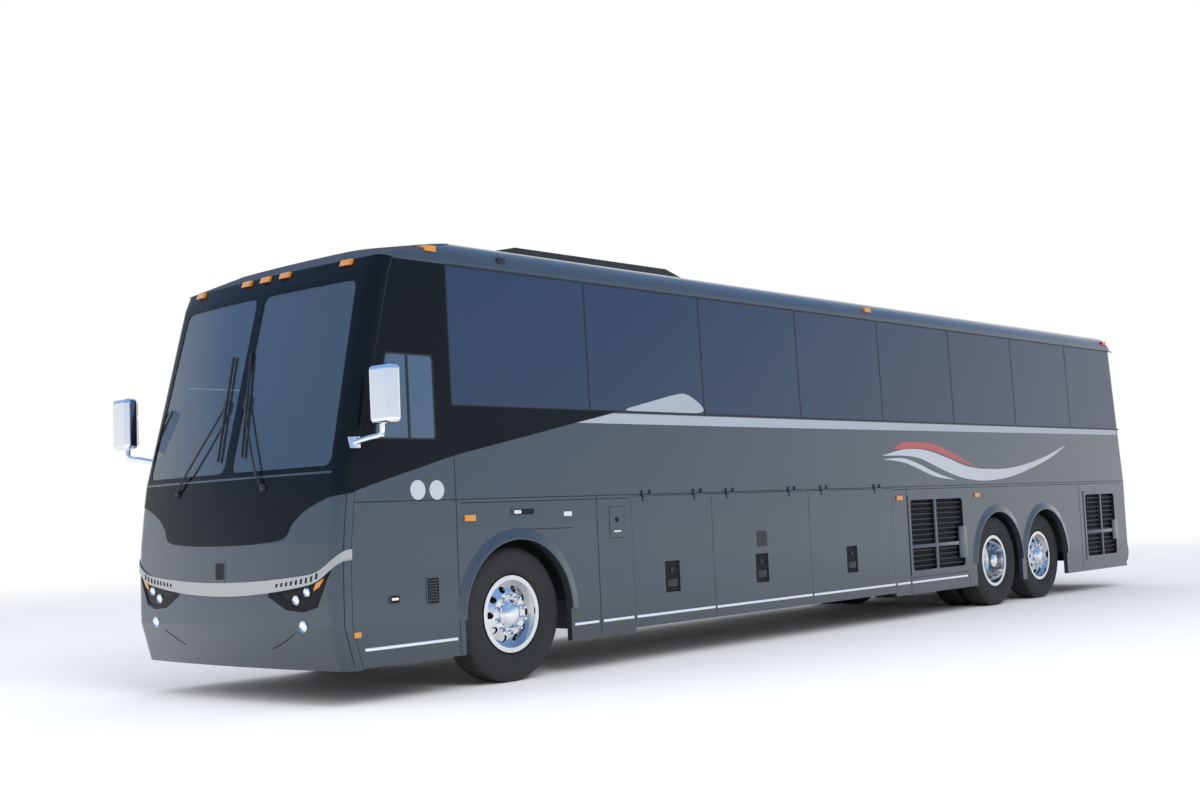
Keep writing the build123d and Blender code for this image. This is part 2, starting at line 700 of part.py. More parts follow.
def side_parts():
    """Side walls, fixed panes, luggage doors and the entry door."""
    shared = side_wall()
    ears, leaf = lift_hinge()
    hinge_places = []
    for front, rear, _ in BAY_DOORS:
        spots = [rear + share * (front - rear) for share in HINGE_SHARES]
        hinge_places.append([Pos(x, HALF_W + HINGE_OUT, BAY_DOOR_HEAD_Z + HINGE_RISE) for x in spots])
    for place in [spot for spots in hinge_places for spot in spots]:
        shared += place * ears
    left = shared - window_prism(DRIVER_WINDOW, 0)
    right = mirror_y(shared - window_prism(ENTRY_DOOR, -DOOR_GAP))
    panes = side_panes()
    driver_pane = side_slab(FLUSH, FLUSH + GLASS) & window_prism(DRIVER_WINDOW, SEAT_GAP)
    glass = [*panes, driver_pane, *[mirror_y(pane) for pane in panes]]
    parts = {
        "side_wall_left": left,
        "side_wall_right": right,
        "side_glass": Compound(children=glass),
    }
    skin = side_slab(0, DOOR_THICK)
    wide, tall, deep = HANDLE_SIZE
    for number, (front, rear, handle_x) in enumerate(BAY_DOORS, start=1):
        outline = rectangle(rear + DOOR_GAP / 2, front - DOOR_GAP / 2, BAY_DOOR_FOOT_Z, BAY_DOOR_HEAD_Z)
        door = skin & along_y(outline, 0, WIDTH)
        pocket = rectangle(handle_x - wide / 2, handle_x + wide / 2, HANDLE_Z - tall / 2, HANDLE_Z + tall / 2)
        door -= along_y(pocket, HALF_W - deep, WIDTH)
        for place in hinge_places[number - 1]:
            door += place * leaf
        parts[f"bay_door_left_{number}"] = door
        parts[f"bay_door_right_{number}"] = mirror_y(door)
    door = skin & window_prism(ENTRY_DOOR, 0)
    parts["entry_door"] = mirror_y(door - window_prism(entry_window(), 0))
    pane = side_slab(FLUSH, FLUSH + GLASS) & window_prism(entry_window(), SEAT_GAP)
    parts["entry_door_glass"] = mirror_y(pane)
    return parts


def shoulder_lamp(x):
    """Marker lens on the left shoulder of the roof."""
    long, wide, _ = LENS
    sides = (HALF_W - ROOF_CORNER, SHOULDER_LAMP_Y)
    lens = block(x - long / 2, x + long / 2, *sides, SHOULDER_LAMP_Z - wide / 2, SHOULDER_LAMP_Z + wide / 2)
    return lens - roof_solid(-SEAT_GAP, CANT_Z + SEAT_GAP)


def roof_part():
    """Roof shell with sloping ends."""
    return roof_solid(0, CANT_Z + SEAT_GAP) - roof_solid(ROOF_WALL, CANT_Z)


def rear_parts():
    """Rear cap with the engine doorway, the engine door and the rear lamps."""
    wide, foot, head = ENGINE_DOOR
    door_y = wide / 2
    shell = rear_shell(0, WALL)
    x0 = TAIL - 1
    x1 = TAIL + REAR_DEPTH
    cap = shell - block(x0, x1, -door_y - DOOR_GAP, door_y + DOOR_GAP, foot - DOOR_GAP, head + DOOR_GAP)
    door = rear_shell(0, DOOR_THICK) & block(x0, x1, -door_y, door_y, foot, head)
    ears, leaf = lift_hinge()
    for y in (ENGINE_HINGE_Y, -ENGINE_HINGE_Y):
        place = Pos(TAIL + REAR_STEP - HINGE_OUT, y, head + HINGE_RISE) * Rot(0, 0, 90)
        cap += place * ears
        door += place * leaf
    for y in (PLATE_SPACING / 2, -PLATE_SPACING / 2):
        door -= Pos(TAIL, y, PLATE_Z) * Rot(0, 90, 0) * Cylinder(PLATE_HOLE, 4 * WALL)
    gap, inset, lamp_foot, lamp_head = TAIL_LAMP
    lamp = block(x0, x1, door_y + gap, HALF_W - inset, lamp_foot, lamp_head)
    recess = rear_shell(-1, WALL / 2)
    lamps = []
    for prism in (lamp, mirror_y(lamp)):
        cap -= recess & prism
        lamps.append(rear_shell(FLUSH, WALL / 2 - SEAT_GAP) & prism)
    marker = shoulder_lamp(REAR_SHOULDER_LAMP_X)
    lamps += [marker, mirror_y(marker)]
    return {"rear_cap": cap, "engine_door": door, "tail_lamps": Compound(children=lamps)}


def stair_outline():
    """Entry steps in Y and Z: treads and risers with a sloping underside."""
    foot_y = -half_width(STEP_BOTTOM_Z) + WALL + STEP_SETBACK
    tread = (PLATFORM_Y - foot_y) / STEP_COUNT
    rise = (PLATFORM_Z - STEP_BOTTOM_Z) / STEP_COUNT
    outline = [(PLATFORM_Y, PLATFORM_Z)]
    for step in range(STEP_COUNT):
        y = PLATFORM_Y - tread * step
        z = PLATFORM_Z - rise * (step + 1)
        outline += [(y, z), (y - tread, z)]
    outline += [(foot_y, STEP_BOTTOM_Z - FLOOR_THICK), (foot_y + tread, STEP_BOTTOM_Z - FLOOR_THICK)]
    inner = PLATFORM_Y + FLOOR_THICK
    return [*outline, (inner, PLATFORM_Z - rise - FLOOR_THICK), (inner, PLATFORM_Z)]


def floor_parts():
    """Cabin floor with the driver's platform and steps, and the luggage hold."""
    side = half_width(CABIN_FLOOR_Z) - WALL - SEAT_GAP
    rear = rear_seam(BELT_Z) + PANEL_GAP
    front = FIRST_BAY_X
    under = CABIN_FLOOR_Z - FLOOR_THICK
    platform_under = PLATFORM_Z - FLOOR_THICK
    seam = nose(PLATFORM_Z) - CAP_DEPTH
    floor = block(rear, front, -side, side, under, CABIN_FLOOR_Z)
    floor += block(front - FLOOR_THICK, front, -side, side, platform_under, under)
    floor += block(front, seam, PLATFORM_Y, side, platform_under, PLATFORM_Z)
    toe = seam + CAP_DEPTH - 3 * WALL
    floor += block(seam, toe, PLATFORM_Y, side - FRONT_CORNER, platform_under, PLATFORM_Z)
    floor += along_x(stair_outline(), ENTRY_REAR_X, ENTRY_FRONT_X)
    hold = block(HOLD_REAR_X, HOLD_FRONT_X, -side, side, HOLD_FLOOR_Z - FLOOR_THICK, HOLD_FLOOR_Z)
    for x in (HOLD_REAR_X, HOLD_FRONT_X - HOLD_WALL):
        hold += block(x, x + HOLD_WALL, -side, side, HOLD_FLOOR_Z, under)
    for _, x, _ in BAY_DOORS[:-1]:
        for y in (side - FLOOR_THICK, -side):
            hold += block(x - HOLD_WALL, x + HOLD_WALL, y, y + FLOOR_THICK, HOLD_FLOOR_Z, under)
    return {"cabin_floor": floor, "luggage_hold": hold}


def tow_eye():
    """Left tow eye: a hanger under the rail with a level tongue that takes an upright pin."""
    back = TOW_EYE_X - TOW_EYE_HALF
    sides = (FRONT_RAIL_Y, FRONT_RAIL_Y + RAIL_WIDE)
    foot = TOW_EYE_Z - TOW_EYE_PLATE / 2
    eye = block(back - TOW_EYE_PLATE, back, *sides, foot, RAIL_FOOT_Z)
    eye += block(back, TOW_EYE_X + TOW_EYE_HALF, *sides, foot, foot + TOW_EYE_PLATE)
    middle = Pos(TOW_EYE_X, FRONT_RAIL_Y + RAIL_WIDE / 2, TOW_EYE_Z)
    return eye - middle * Cylinder(TOW_EYE_BORE, 2 * TOW_EYE_PLATE)


def jack_pad():
    """Left jacking pad under the front rail."""
    sides = (FRONT_RAIL_Y, FRONT_RAIL_Y + RAIL_WIDE)
    foot = RAIL_FOOT_Z - JACK_PAD_DROP
    return block(JACK_PAD_X - JACK_PAD_HALF, JACK_PAD_X + JACK_PAD_HALF, *sides, foot, RAIL_FOOT_Z)


def frame_part():
    """Front and rear subframes: rails joined by cross members."""
    frames = []
    for x0, x1, rail_y, cross_places in SUBFRAMES:
        sub = block(x0, x1, rail_y, rail_y + RAIL_WIDE, RAIL_FOOT_Z, RAIL_HEAD_Z)
        sub += mirror_y(sub)
        for x in cross_places:
            foot = RAIL_FOOT_Z + RAIL_STEP
            sub += block(x - RAIL_WIDE, x + RAIL_WIDE, -rail_y, rail_y, foot, RAIL_HEAD_Z - RAIL_STEP)
        frames.append(sub)
    fittings = tow_eye() + jack_pad()
    frames[0] += fittings
    frames[0] += mirror_y(fittings)
    return Compound(children=frames)


def bellows(x, rail_y, foot):
    """Air bellows from an axle up to both rails."""
    tall = RAIL_FOOT_Z - foot
    spring = Pos(x, rail_y + RAIL_WIDE / 2, foot + tall / 2) * Cylinder(BELLOWS / 2, tall)
    return spring + mirror_y(spring)


def axle_parts():
    """Steered beam with its pin bosses, drive axle with its gear housing, and tag axle."""
    pin_y = FRONT_WHEEL_Y - KINGPIN_INSET
    top = BEAM_Z + BEAM_TALL / 2
    half = BEAM_WIDE / 2
    beam = block(FRONT_AXLE_X - half, FRONT_AXLE_X + half, -pin_y, pin_y, BEAM_Z - BEAM_TALL / 2, top)
    bore = KINGPIN_RADIUS + RUNNING_FIT
    for y in (pin_y, -pin_y):
        beam += Pos(FRONT_AXLE_X, y, BEAM_Z) * Cylinder(KINGPIN_BOSS, BEAM_TALL)
        beam -= Pos(FRONT_AXLE_X, y, BEAM_Z) * Cylinder(bore, 2 * BEAM_TALL)
    beam += bellows(FRONT_AXLE_X, FRONT_RAIL_Y, top - 1)
    stub_end = TWIN_OUTER_Y - TWIN_PITCH / 2 + AXLE_STUB
    tube_end = TWIN_OUTER_Y - TWIN_PITCH
    drive = rod(AXLE_TUBE, -tube_end, tube_end, DRIVE_AXLE_X, TYRE_RADIUS)
    drive += rod(SPINDLE_RADIUS, -stub_end, stub_end, DRIVE_AXLE_X, TYRE_RADIUS)
    drive += Pos(DRIVE_AXLE_X, 0, TYRE_RADIUS) * Sphere(GEAR_HOUSING)
    drive += bellows(DRIVE_AXLE_X, REAR_RAIL_Y, TYRE_RADIUS)
    tag_end = TAG_WHEEL_Y + AXLE_STUB
    tube_end = TAG_WHEEL_Y - TYRE_WIDTH
    tag = rod(AXLE_TUBE, -tube_end, tube_end, TAG_AXLE_X, TYRE_RADIUS)
    tag += rod(SPINDLE_RADIUS, -tag_end, tag_end, TAG_AXLE_X, TYRE_RADIUS)
    tag += bellows(TAG_AXLE_X, REAR_RAIL_Y, TYRE_RADIUS)
    return {"front_axle": beam, "rear_axles": Compound(children=[drive, tag])}


def knuckle():
    """Left steering knuckle: forked yoke, pin and wheel spindle."""
    pin_y = FRONT_WHEEL_Y - KINGPIN_INSET
    web_y = pin_y + KNUCKLE_REACH
    x0 = FRONT_AXLE_X - KNUCKLE_HALF
    x1 = FRONT_AXLE_X + KNUCKLE_HALF
    half = BEAM_TALL / 2 + FORK_GAP
    reach = half + KNUCKLE_ARM
    yoke = block(x0, x1, web_y - KNUCKLE_WEB, web_y, BEAM_Z - reach, BEAM_Z + reach)
    for foot in (BEAM_Z + half, BEAM_Z - reach):
        yoke += Pos(FRONT_AXLE_X, pin_y, foot + KNUCKLE_ARM / 2) * Cylinder(KNUCKLE_HALF, KNUCKLE_ARM)
        yoke += block(x0, x1, pin_y, web_y, foot, foot + KNUCKLE_ARM)
    yoke += Pos(FRONT_AXLE_X, pin_y, BEAM_Z) * Cylinder(KINGPIN_RADIUS, 2 * reach)
    spindle_end = FRONT_WHEEL_Y + SPINDLE_PAST
    yoke += rod(SPINDLE_RADIUS, web_y - KNUCKLE_WEB, spindle_end, FRONT_AXLE_X, TYRE_RADIUS)
    return yoke


def ring(points, x, y):
    """Solid turned about a wheel's axle from (radius, offset along the axle) points."""
    face = make_face(Polyline(*points, close=True))
    plane = Plane(origin=(x, y, TYRE_RADIUS), x_dir=(0, 0, 1), z_dir=(-1, 0, 0))
    axis = Axis((x, y, TYRE_RADIUS), (0, 1, 0))
    return revolve(plane * face, axis, 360)


def tyre(x, y):
    """One tyre: flat tread, rounded shoulders, bulged walls and open bead."""
    half = TYRE_WIDTH / 2
    bead = RIM_WIDTH / 2 - BEAD_INSET
    drop, shoulder_in = TYRE_SHOULDER
    rise, foot_in = TYRE_FOOT
    points = (
        (RIM_RADIUS + SEAT_GAP, -bead),
        (RIM_FLANGE + TYRE_LIP, -bead),
        (RIM_FLANGE + rise, -half + foot_in),
        (TYRE_RADIUS - TYRE_BULGE_DROP, -half),
        (TYRE_RADIUS - drop, -half + shoulder_in),
        (TYRE_RADIUS, -half + drop),
    )
    mirrored = [(r, -a) for r, a in reversed(points)]
    return ring([*points, *mirrored], x, y)


def barrel(x, y):
    """Rim barrel with both flanges."""
    half = RIM_WIDTH / 2
    inside = RIM_RADIUS - RIM_WALL
    points = (
        (inside, -half),
        (RIM_FLANGE, -half),
        (RIM_FLANGE, -half + RIM_EDGE),
        (RIM_RADIUS, -half + RIM_EDGE),
        (RIM_RADIUS, half - RIM_EDGE),
        (RIM_FLANGE, half - RIM_EDGE),
        (RIM_FLANGE, half),
        (inside, half),
    )
    return ring(points, x, y)


def hub(x, y, inner, outer, hub_cap):
    """Hub turned round the spindle, closed by a cap at its outer end."""
    bore = SPINDLE_RADIUS + RUNNING_FIT
    points = (
        (bore, inner),
        (HUB_RADIUS, inner),
        (HUB_RADIUS, outer),
        (HUB_RADIUS - HUB_CAP_TAPER, outer + hub_cap),
        (0, outer + hub_cap),
        (0, outer + hub_cap - HUB_CAP_WALL),
        (bore, outer + hub_cap - HUB_CAP_WALL),
    )
    return ring(points, x, y)


def hand_holes(x, y, reach):
    """Cutters for the round holes of a wheel's disc."""
    cutters = []
    for index in range(HAND_HOLES):
        turn = Pos(x, y, TYRE_RADIUS) * Rot(0, 360 / HAND_HOLES * index, 0)
        cutters.append(turn * rod(HAND_HOLE_RADIUS, -reach, reach, HAND_HOLE_CIRCLE, 0))
    return cutters


def disc_wheel(x, y):
    """Single wheel: barrel, dished disc, hub and cap."""
    inside = RIM_RADIUS - RIM_WALL + DISC_ROOT
    root = HUB_RADIUS - DISC_ROOT
    back = DISC_FACE - DISC_THICK
    dish = DISC_FACE - DISC_DISH
    disc = (
        (root, back), (root, DISC_FACE), (DISC_KNEE, DISC_FACE),
        (inside, dish), (inside, dish - DISC_THICK), (DISC_KNEE - DISC_ROOT, back),
    )
    wheel = barrel(x, y) + ring(disc, x, y) + hub(x, y, *HUB)
    for cutter in hand_holes(x, y, RIM_WIDTH / 2):
        wheel -= cutter
    return wheel


def twin_wheel():
    """Left drive wheel: two barrels, their clamped discs and a long hub."""
    x = DRIVE_AXLE_X
    outer = TWIN_OUTER_Y
    middle = -TWIN_PITCH / 2
    inside = RIM_RADIUS - RIM_WALL + DISC_ROOT
    root = HUB_RADIUS - DISC_ROOT
    knee, throat = TWIN_KNEES
    far = TWIN_CLAMP + TWIN_DISH
    half = ((root, TWIN_CLAMP), (knee, TWIN_CLAMP), (inside, far), (inside, far - DISC_THICK))
    disc = [(radius, middle + along) for radius, along in half]
    disc.append((throat, middle))
    disc += [(radius, middle - along) for radius, along in reversed(half)]
    wheel = barrel(x, outer) + barrel(x, outer - TWIN_PITCH) + ring(disc, x, outer)
    hub_inner, hub_outer, hub_cap = TWIN_HUB
    wheel += hub(x, outer, middle + hub_inner, middle + hub_outer, hub_cap)
    for cutter in hand_holes(x, outer + middle, TWIN_PITCH / 3):
        wheel -= cutter
    return wheel


def wheel_parts():
    """Tyres and wheels of the three axles on both sides."""
    left = {
        "front": (tyre(FRONT_AXLE_X, FRONT_WHEEL_Y), disc_wheel(FRONT_AXLE_X, FRONT_WHEEL_Y)),
        "tag": (tyre(TAG_AXLE_X, TAG_WHEEL_Y), disc_wheel(TAG_AXLE_X, TAG_WHEEL_Y)),
    }
    twins = Compound(children=[tyre(DRIVE_AXLE_X, TWIN_OUTER_Y - TWIN_PITCH * n) for n in (0, 1)])
    left["drive"] = (twins, twin_wheel())
    parts = {}
    for axle, (rubber, metal) in left.items():
        parts[f"{axle}_tyre_left"] = rubber
        parts[f"{axle}_rim_left"] = metal
        parts[f"{axle}_tyre_right"] = mirror_y(rubber)
        parts[f"{axle}_rim_right"] = mirror_y(metal)
    return parts


def arch_liners():
    """Half-round housings over the wheels, hung between the walls and the frame."""
    side = HALF_W - WALL - SEAT_GAP
    inner = REAR_RAIL_Y + RAIL_WIDE + LINER_GAP
    liners = []
    for x in (FRONT_AXLE_X, DRIVE_AXLE_X, TAG_AXLE_X):
        shell = rod(ARCH_LINER + LINER_WALL, inner, side, x, TYRE_RADIUS)
        liners.append((x, shell))
    front = liners[0][1]
    rear = liners[1][1] + liners[2][1]
    for x, _ in liners:
        hollow = rod(ARCH_LINER, inner - 1, side + 1, x, TYRE_RADIUS)
        front -= hollow
        rear -= hollow
    below = block(TAIL, HALF_L, 0, WIDTH, -TYRE_RADIUS, TYRE_RADIUS + LINER_GAP)
    shells = [front - below, rear - below]
    return Compound(children=[*shells, *[mirror_y(shell) for shell in shells]])


def grille(rear, front, foot, head):
    """Left grille: a frame with level slats and a middle bar, flush in its opening."""
    y0 = HALF_W - WALL
    y1 = HALF_W - GRILLE_RECESS
    edge = GRILLE_EDGE
    frame = block(rear + SEAT_GAP, front - SEAT_GAP, y0, y1, foot + SEAT_GAP, head - SEAT_GAP)
    frame -= block(rear + edge, front - edge, y0 - 1, y1 + 1, foot + edge, head - edge)
    middle = (rear + front) / 2
    frame += block(middle - edge / 2, middle + edge / 2, y0, y1, foot + edge / 2, head - edge / 2)
    count = int((head - foot - 2 * edge) / SLAT_PITCH)
    pitch = (head - foot - 2 * edge) / (count + 1)
    depth = (y0 + SLAT_RECESS, y1 - SLAT_RECESS)
    for index in range(1, count + 1):
        z = foot + edge + pitch * index
        frame += block(rear + edge / 2, front - edge / 2, *depth, z - SLAT_THICK / 2, z + SLAT_THICK / 2)
    return frame


def small_lamps():
    """Shallow marker lenses on the front header, along the sides and on the roof's shoulders."""
    long, wide, tall = LENS
    lenses = []
    header = front_shell(-tall, -SEAT_GAP)
    for y in HEADER_LAMP_Y:
        outline = rectangle(y - long / 2, y + long / 2, HEADER_LAMP_Z - wide / 2, HEADER_LAMP_Z + wide / 2)
        lenses.append(header & along_x(outline, 0, HALF_L))
    skin = side_slab(-tall / 2, -SEAT_GAP)
    for x, z in SIDE_LAMPS:
        outline = rectangle(x - long / 2, x + long / 2, z - wide / 2, z + wide / 2)
        lens = skin & along_y(outline, 0, WIDTH)
        lenses += [lens, mirror_y(lens)]
    for x in SHOULDER_LAMP_X:
        lens = shoulder_lamp(x)
        lenses += [lens, mirror_y(lens)]
    return lenses


def mirrors():
    """Mirror heads on bent arms that leave the front pillars."""
    deep, wide, tall = MIRROR_SIZE
    pair = []
    for side, head_x, root_x in MIRROR_PLACES:
        head = Pos(head_x, MIRROR_Y, MIRROR_Z) * Box(deep, wide, tall)
        head = fillet(head.edges(), deep / 3)
        heights = (MIRROR_ARM_Z - MIRROR_PAD, MIRROR_ARM_Z + MIRROR_PAD)
        foot = rectangle(root_x - MIRROR_PAD, root_x + MIRROR_PAD, *heights)
        pad = front_shell(-MIRROR_ARM / 2, -SEAT_GAP) & along_y(foot, HALF_W - FRONT_CORNER, WIDTH)
        root = Vector(root_x, half_width(MIRROR_ARM_Z) + MIRROR_ARM / 3, MIRROR_ARM_Z)
        stem_y = MIRROR_Y - MIRROR_STEM_IN
        elbow = Vector(head_x, stem_y, heights[1])
        top = Vector(head_x, stem_y, MIRROR_Z - tall / 2 + MIRROR_STEM_UP)
        mirror_part = head + pad + Pos(*elbow) * Sphere(0.6 * MIRROR_ARM)
        for start, end in ((root, elbow), (elbow, top)):
            mirror_part += bar(start, end, MIRROR_ARM / 2)
        pair.append(mirror_part if side > 0 else mirror_y(mirror_part))
    return Compound(children=pair)


def seat(half, pedestal_half):
    """One seat or pair of seats on its pedestal, standing at the origin."""
    x0, x1, _, tall = PEDESTAL
    return along_y(SEAT_PROFILE, -half, half) + block(x0, x1, -pedestal_half, pedestal_half, 0, tall)


def seats():
    """Driver's seat and rows of double passenger seats on pedestals."""
    pair = seat(SEAT_WIDTH / 2, PEDESTAL[2])
    rows = []
    for row in range(SEAT_ROWS):
        for y in (SEAT_Y, -SEAT_Y):
            rows.append(Pos(FIRST_ROW_X - row * SEAT_PITCH, y, CABIN_FLOOR_Z + SEAT_GAP) * pair)
    driver = seat(DRIVER_HALF, DRIVER_PEDESTAL_HALF)
    rows.append(Pos(DRIVER_X, DRIVER_Y, PLATFORM_Z + SEAT_GAP) * driver)
    return Compound(children=rows)


def dashboard():
    """Dashboard under the windscreen with the steering column and wheel."""
    x1 = nose(SCREEN_FOOT_Z) - 3 * WALL
    x0 = x1 - DASH_DEEP
    brow, brow_z = DASH_BROW
    foot_z = PLATFORM_Z + SEAT_GAP
    top = [(x0, brow_z), (x0 + brow, DASH_TOP_Z), (x1, DASH_TOP_Z)]
    outline = [*top, (x1, foot_z), (x0 + DASH_KNEE, foot_z)]
    panel = along_y(outline, PLATFORM_Y + DASH_END_GAP, HALF_W - 3 * WALL)
    hub_at = Vector(x0 - STEERING_HUB[0], DRIVER_Y, STEERING_HUB[1])
    foot = Vector(x0 - STEERING_FOOT[0], DRIVER_Y, STEERING_FOOT[1])
    wheel_plane = Plane(hub_at, z_dir=hub_at - foot)
    panel += bar(foot, hub_at, STEERING_COLUMN)
    panel += wheel_plane * Torus(*STEERING_RING)
    return panel + wheel_plane * Box(*STEERING_SPOKE)


def wipers():
    """Two upright wipers parked each side of the centre post."""
    z0 = SCREEN_FOOT_Z - WIPER_FOOT
    z1 = SCREEN_FOOT_Z + WIPER_HEAD
    pivot, back, front = WIPER_PIVOT
    pair = []
    for y in (WIPER_Y, -WIPER_Y):
        low = Vector(nose(z0) + WIPER_OFF[0], y, z0)
        high = Vector(nose(z1) + WIPER_OFF[1], y, z1)
        boss = bar(low + Vector(back, 0, 0), low + Vector(front, 0, 0), pivot)
        pair.append(boss + bar(low, high, WIPER_BAR))
    return Compound(children=pair)


def roof_unit():
    """Low pod on the roof with long sloping ends."""
    return along_y(POD_OUTLINE, -POD_HALF, POD_HALF) - roof_solid(-SEAT_GAP, CANT_Z + SEAT_GAP)


def engine():
    """Engine as one block, on lugs that meet the rear rails."""
    x0, x1, half, foot, head = ENGINE
    part = block(x0, x1, -half, half, foot, head)
    lug = (x1 - x0) / 6
    heights = (RAIL_FOOT_Z + RAIL_STEP, RAIL_HEAD_Z)
    for x in (x0 + lug, x1 - lug):
        part += block(x - lug / 2, x + lug / 2, -REAR_RAIL_Y, REAR_RAIL_Y, *heights)
    return part


def entry_arm():
    """Swing arm of the entry door, with the eyes that take its two pins."""
    half = ARM_HEIGHT / 2
    arm = block(ARM_TIP_X, ARM_PIVOT_X, ARM_Y - ARM_HALF, ARM_Y + ARM_HALF, ARM_Z - half, ARM_Z + half)
    for x in (ARM_TIP_X, ARM_PIVOT_X):
        arm += Pos(x, ARM_Y, ARM_Z) * Cylinder(ARM_EYE, ARM_HEIGHT)
        arm -= Pos(x, ARM_Y, ARM_Z) * Cylinder(ARM_PIN + RUNNING_FIT, 2 * ARM_HEIGHT)
    return arm


def pin_bracket(x, reach_x, seat_y):
    """Forked bracket with a pin through the arm's eye, seated on a wall or on the door."""
    half = ARM_HEIGHT / 2 + FORK_GAP
    wide = BRACKET_HALF
    bracket = Pos(x, ARM_Y, ARM_Z) * Cylinder(ARM_PIN, 2 * (half + BRACKET_PLATE))
    x0, x1 = sorted((x - wide, reach_x))
    for z in (ARM_Z + half, ARM_Z - half - BRACKET_PLATE):
        bracket += block(x0, x1, ARM_Y - wide, ARM_Y + wide, z, z + BRACKET_PLATE)
        bracket += block(reach_x - 2 * wide, reach_x, seat_y, ARM_Y + wide, z, z + BRACKET_PLATE)
    return bracket


def main():
    """Make every piece and write one file for each."""
    os.makedirs("parts", exist_ok=True)
    pieces = {}
    pieces.update(front_parts())
    pieces.update(side_parts())
    pieces.update(rear_parts())
    pieces.update(floor_parts())
    pieces.update(axle_parts())
    pieces.update(wheel_parts())
    pieces["roof"] = roof_part()
    pieces["chassis_frame"] = frame_part()
    pieces["knuckle_left"] = knuckle()
    pieces["knuckle_right"] = mirror_y(pieces["knuckle_left"])
    pieces["arch_liners"] = arch_liners()
    grilles = [grille(*row) for row in GRILLES]
    pieces["vent_grilles"] = Compound(children=[*grilles, *[mirror_y(part) for part in grilles]])
    pieces["marker_lamps"] = Compound(children=small_lamps())
    pieces["mirrors"] = mirrors()
    pieces["seats"] = seats()
    pieces["dashboard"] = dashboard()
    pieces["wipers"] = wipers()
    pieces["roof_unit"] = roof_unit()
    pieces["entry_arm"] = entry_arm()
    pieces["entry_door"] += pin_bracket(ARM_TIP_X, ARM_TIP_X + BRACKET_HALF, -HALF_W + DOOR_THICK - 1)
    pieces["side_wall_right"] += pin_bracket(ARM_PIVOT_X, ENTRY_FRONT_X + BRACKET_REACH, -HALF_W + WALL - 1)
    pieces["engine"] = engine()
    for name, shape in pieces.items():
        export_step(shape, f"parts/{name}.step")


main()
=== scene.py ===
"""Looks of a three-axle touring coach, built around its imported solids.

Frame: +X forward, +Y to the coach's left, +Z up, the ground at Z = 0. All sizes are in metres.
"""
import json
import logging
import math
from collections.abc import Callable, Iterable, Sequence
from dataclasses import dataclass, replace
from enum import Enum

import bmesh
import bpy
from mathutils import Matrix, Vector


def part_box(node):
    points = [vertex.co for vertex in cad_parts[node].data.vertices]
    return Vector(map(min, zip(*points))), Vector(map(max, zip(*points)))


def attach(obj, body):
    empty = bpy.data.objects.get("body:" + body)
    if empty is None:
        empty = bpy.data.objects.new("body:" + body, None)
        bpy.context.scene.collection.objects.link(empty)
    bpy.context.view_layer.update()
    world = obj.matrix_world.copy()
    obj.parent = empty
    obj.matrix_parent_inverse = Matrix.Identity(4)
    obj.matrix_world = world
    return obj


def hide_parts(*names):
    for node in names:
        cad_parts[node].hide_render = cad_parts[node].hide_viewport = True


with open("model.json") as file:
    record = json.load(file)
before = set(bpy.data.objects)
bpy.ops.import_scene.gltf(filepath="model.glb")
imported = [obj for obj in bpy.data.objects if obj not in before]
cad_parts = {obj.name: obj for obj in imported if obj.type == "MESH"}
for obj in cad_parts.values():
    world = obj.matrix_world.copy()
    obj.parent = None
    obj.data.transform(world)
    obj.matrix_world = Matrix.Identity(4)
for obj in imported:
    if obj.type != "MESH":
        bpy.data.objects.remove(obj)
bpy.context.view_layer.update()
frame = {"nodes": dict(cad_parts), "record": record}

LOG = logging.getLogger("coach")
BODY = "coach_body"
SMOOTH_ANGLE = math.radians(32)
NEAR = 1e-6
WELD = 1e-5
STAY = Matrix.Identity(4)
MIRROR = Matrix.Diagonal((1, -1, 1, 1))
SIDES = {"left": 1, "right": -1}
PLACES = {"left": STAY, "right": MIRROR}
WHEEL_PLACES = {"front": (5.030, 1.082), "drive": (-2.945, 1.100), "tag": (-4.195, 1.070)}

COAT_ROUGHNESS = 0.03
COAT_IOR = 1.42
CLOUD_DETAIL = 5.0
# painted shade that darkens finishes towards the ground: the height where it starts, the height where it is
# full, and its colour
FOOT_SHADE_TOP_Z = 0.70
FOOT_SHADE_LOW_Z = 0.28
FOOT_SHADE_COLOR = (0.024, 0.026, 0.029)

Flat = tuple[float, float]
Point = tuple[float, float, float]
Rgb = tuple[float, float, float]
Outline = tuple[Flat, ...]
Blocks = tuple[tuple[Point, Point, float, int], ...]
Pad = tuple[Point, float, float, int]
Surface = Callable[[float, float, float], Vector]
Socket = bpy.types.NodeSocket
Feed = Socket | float | Sequence[float]


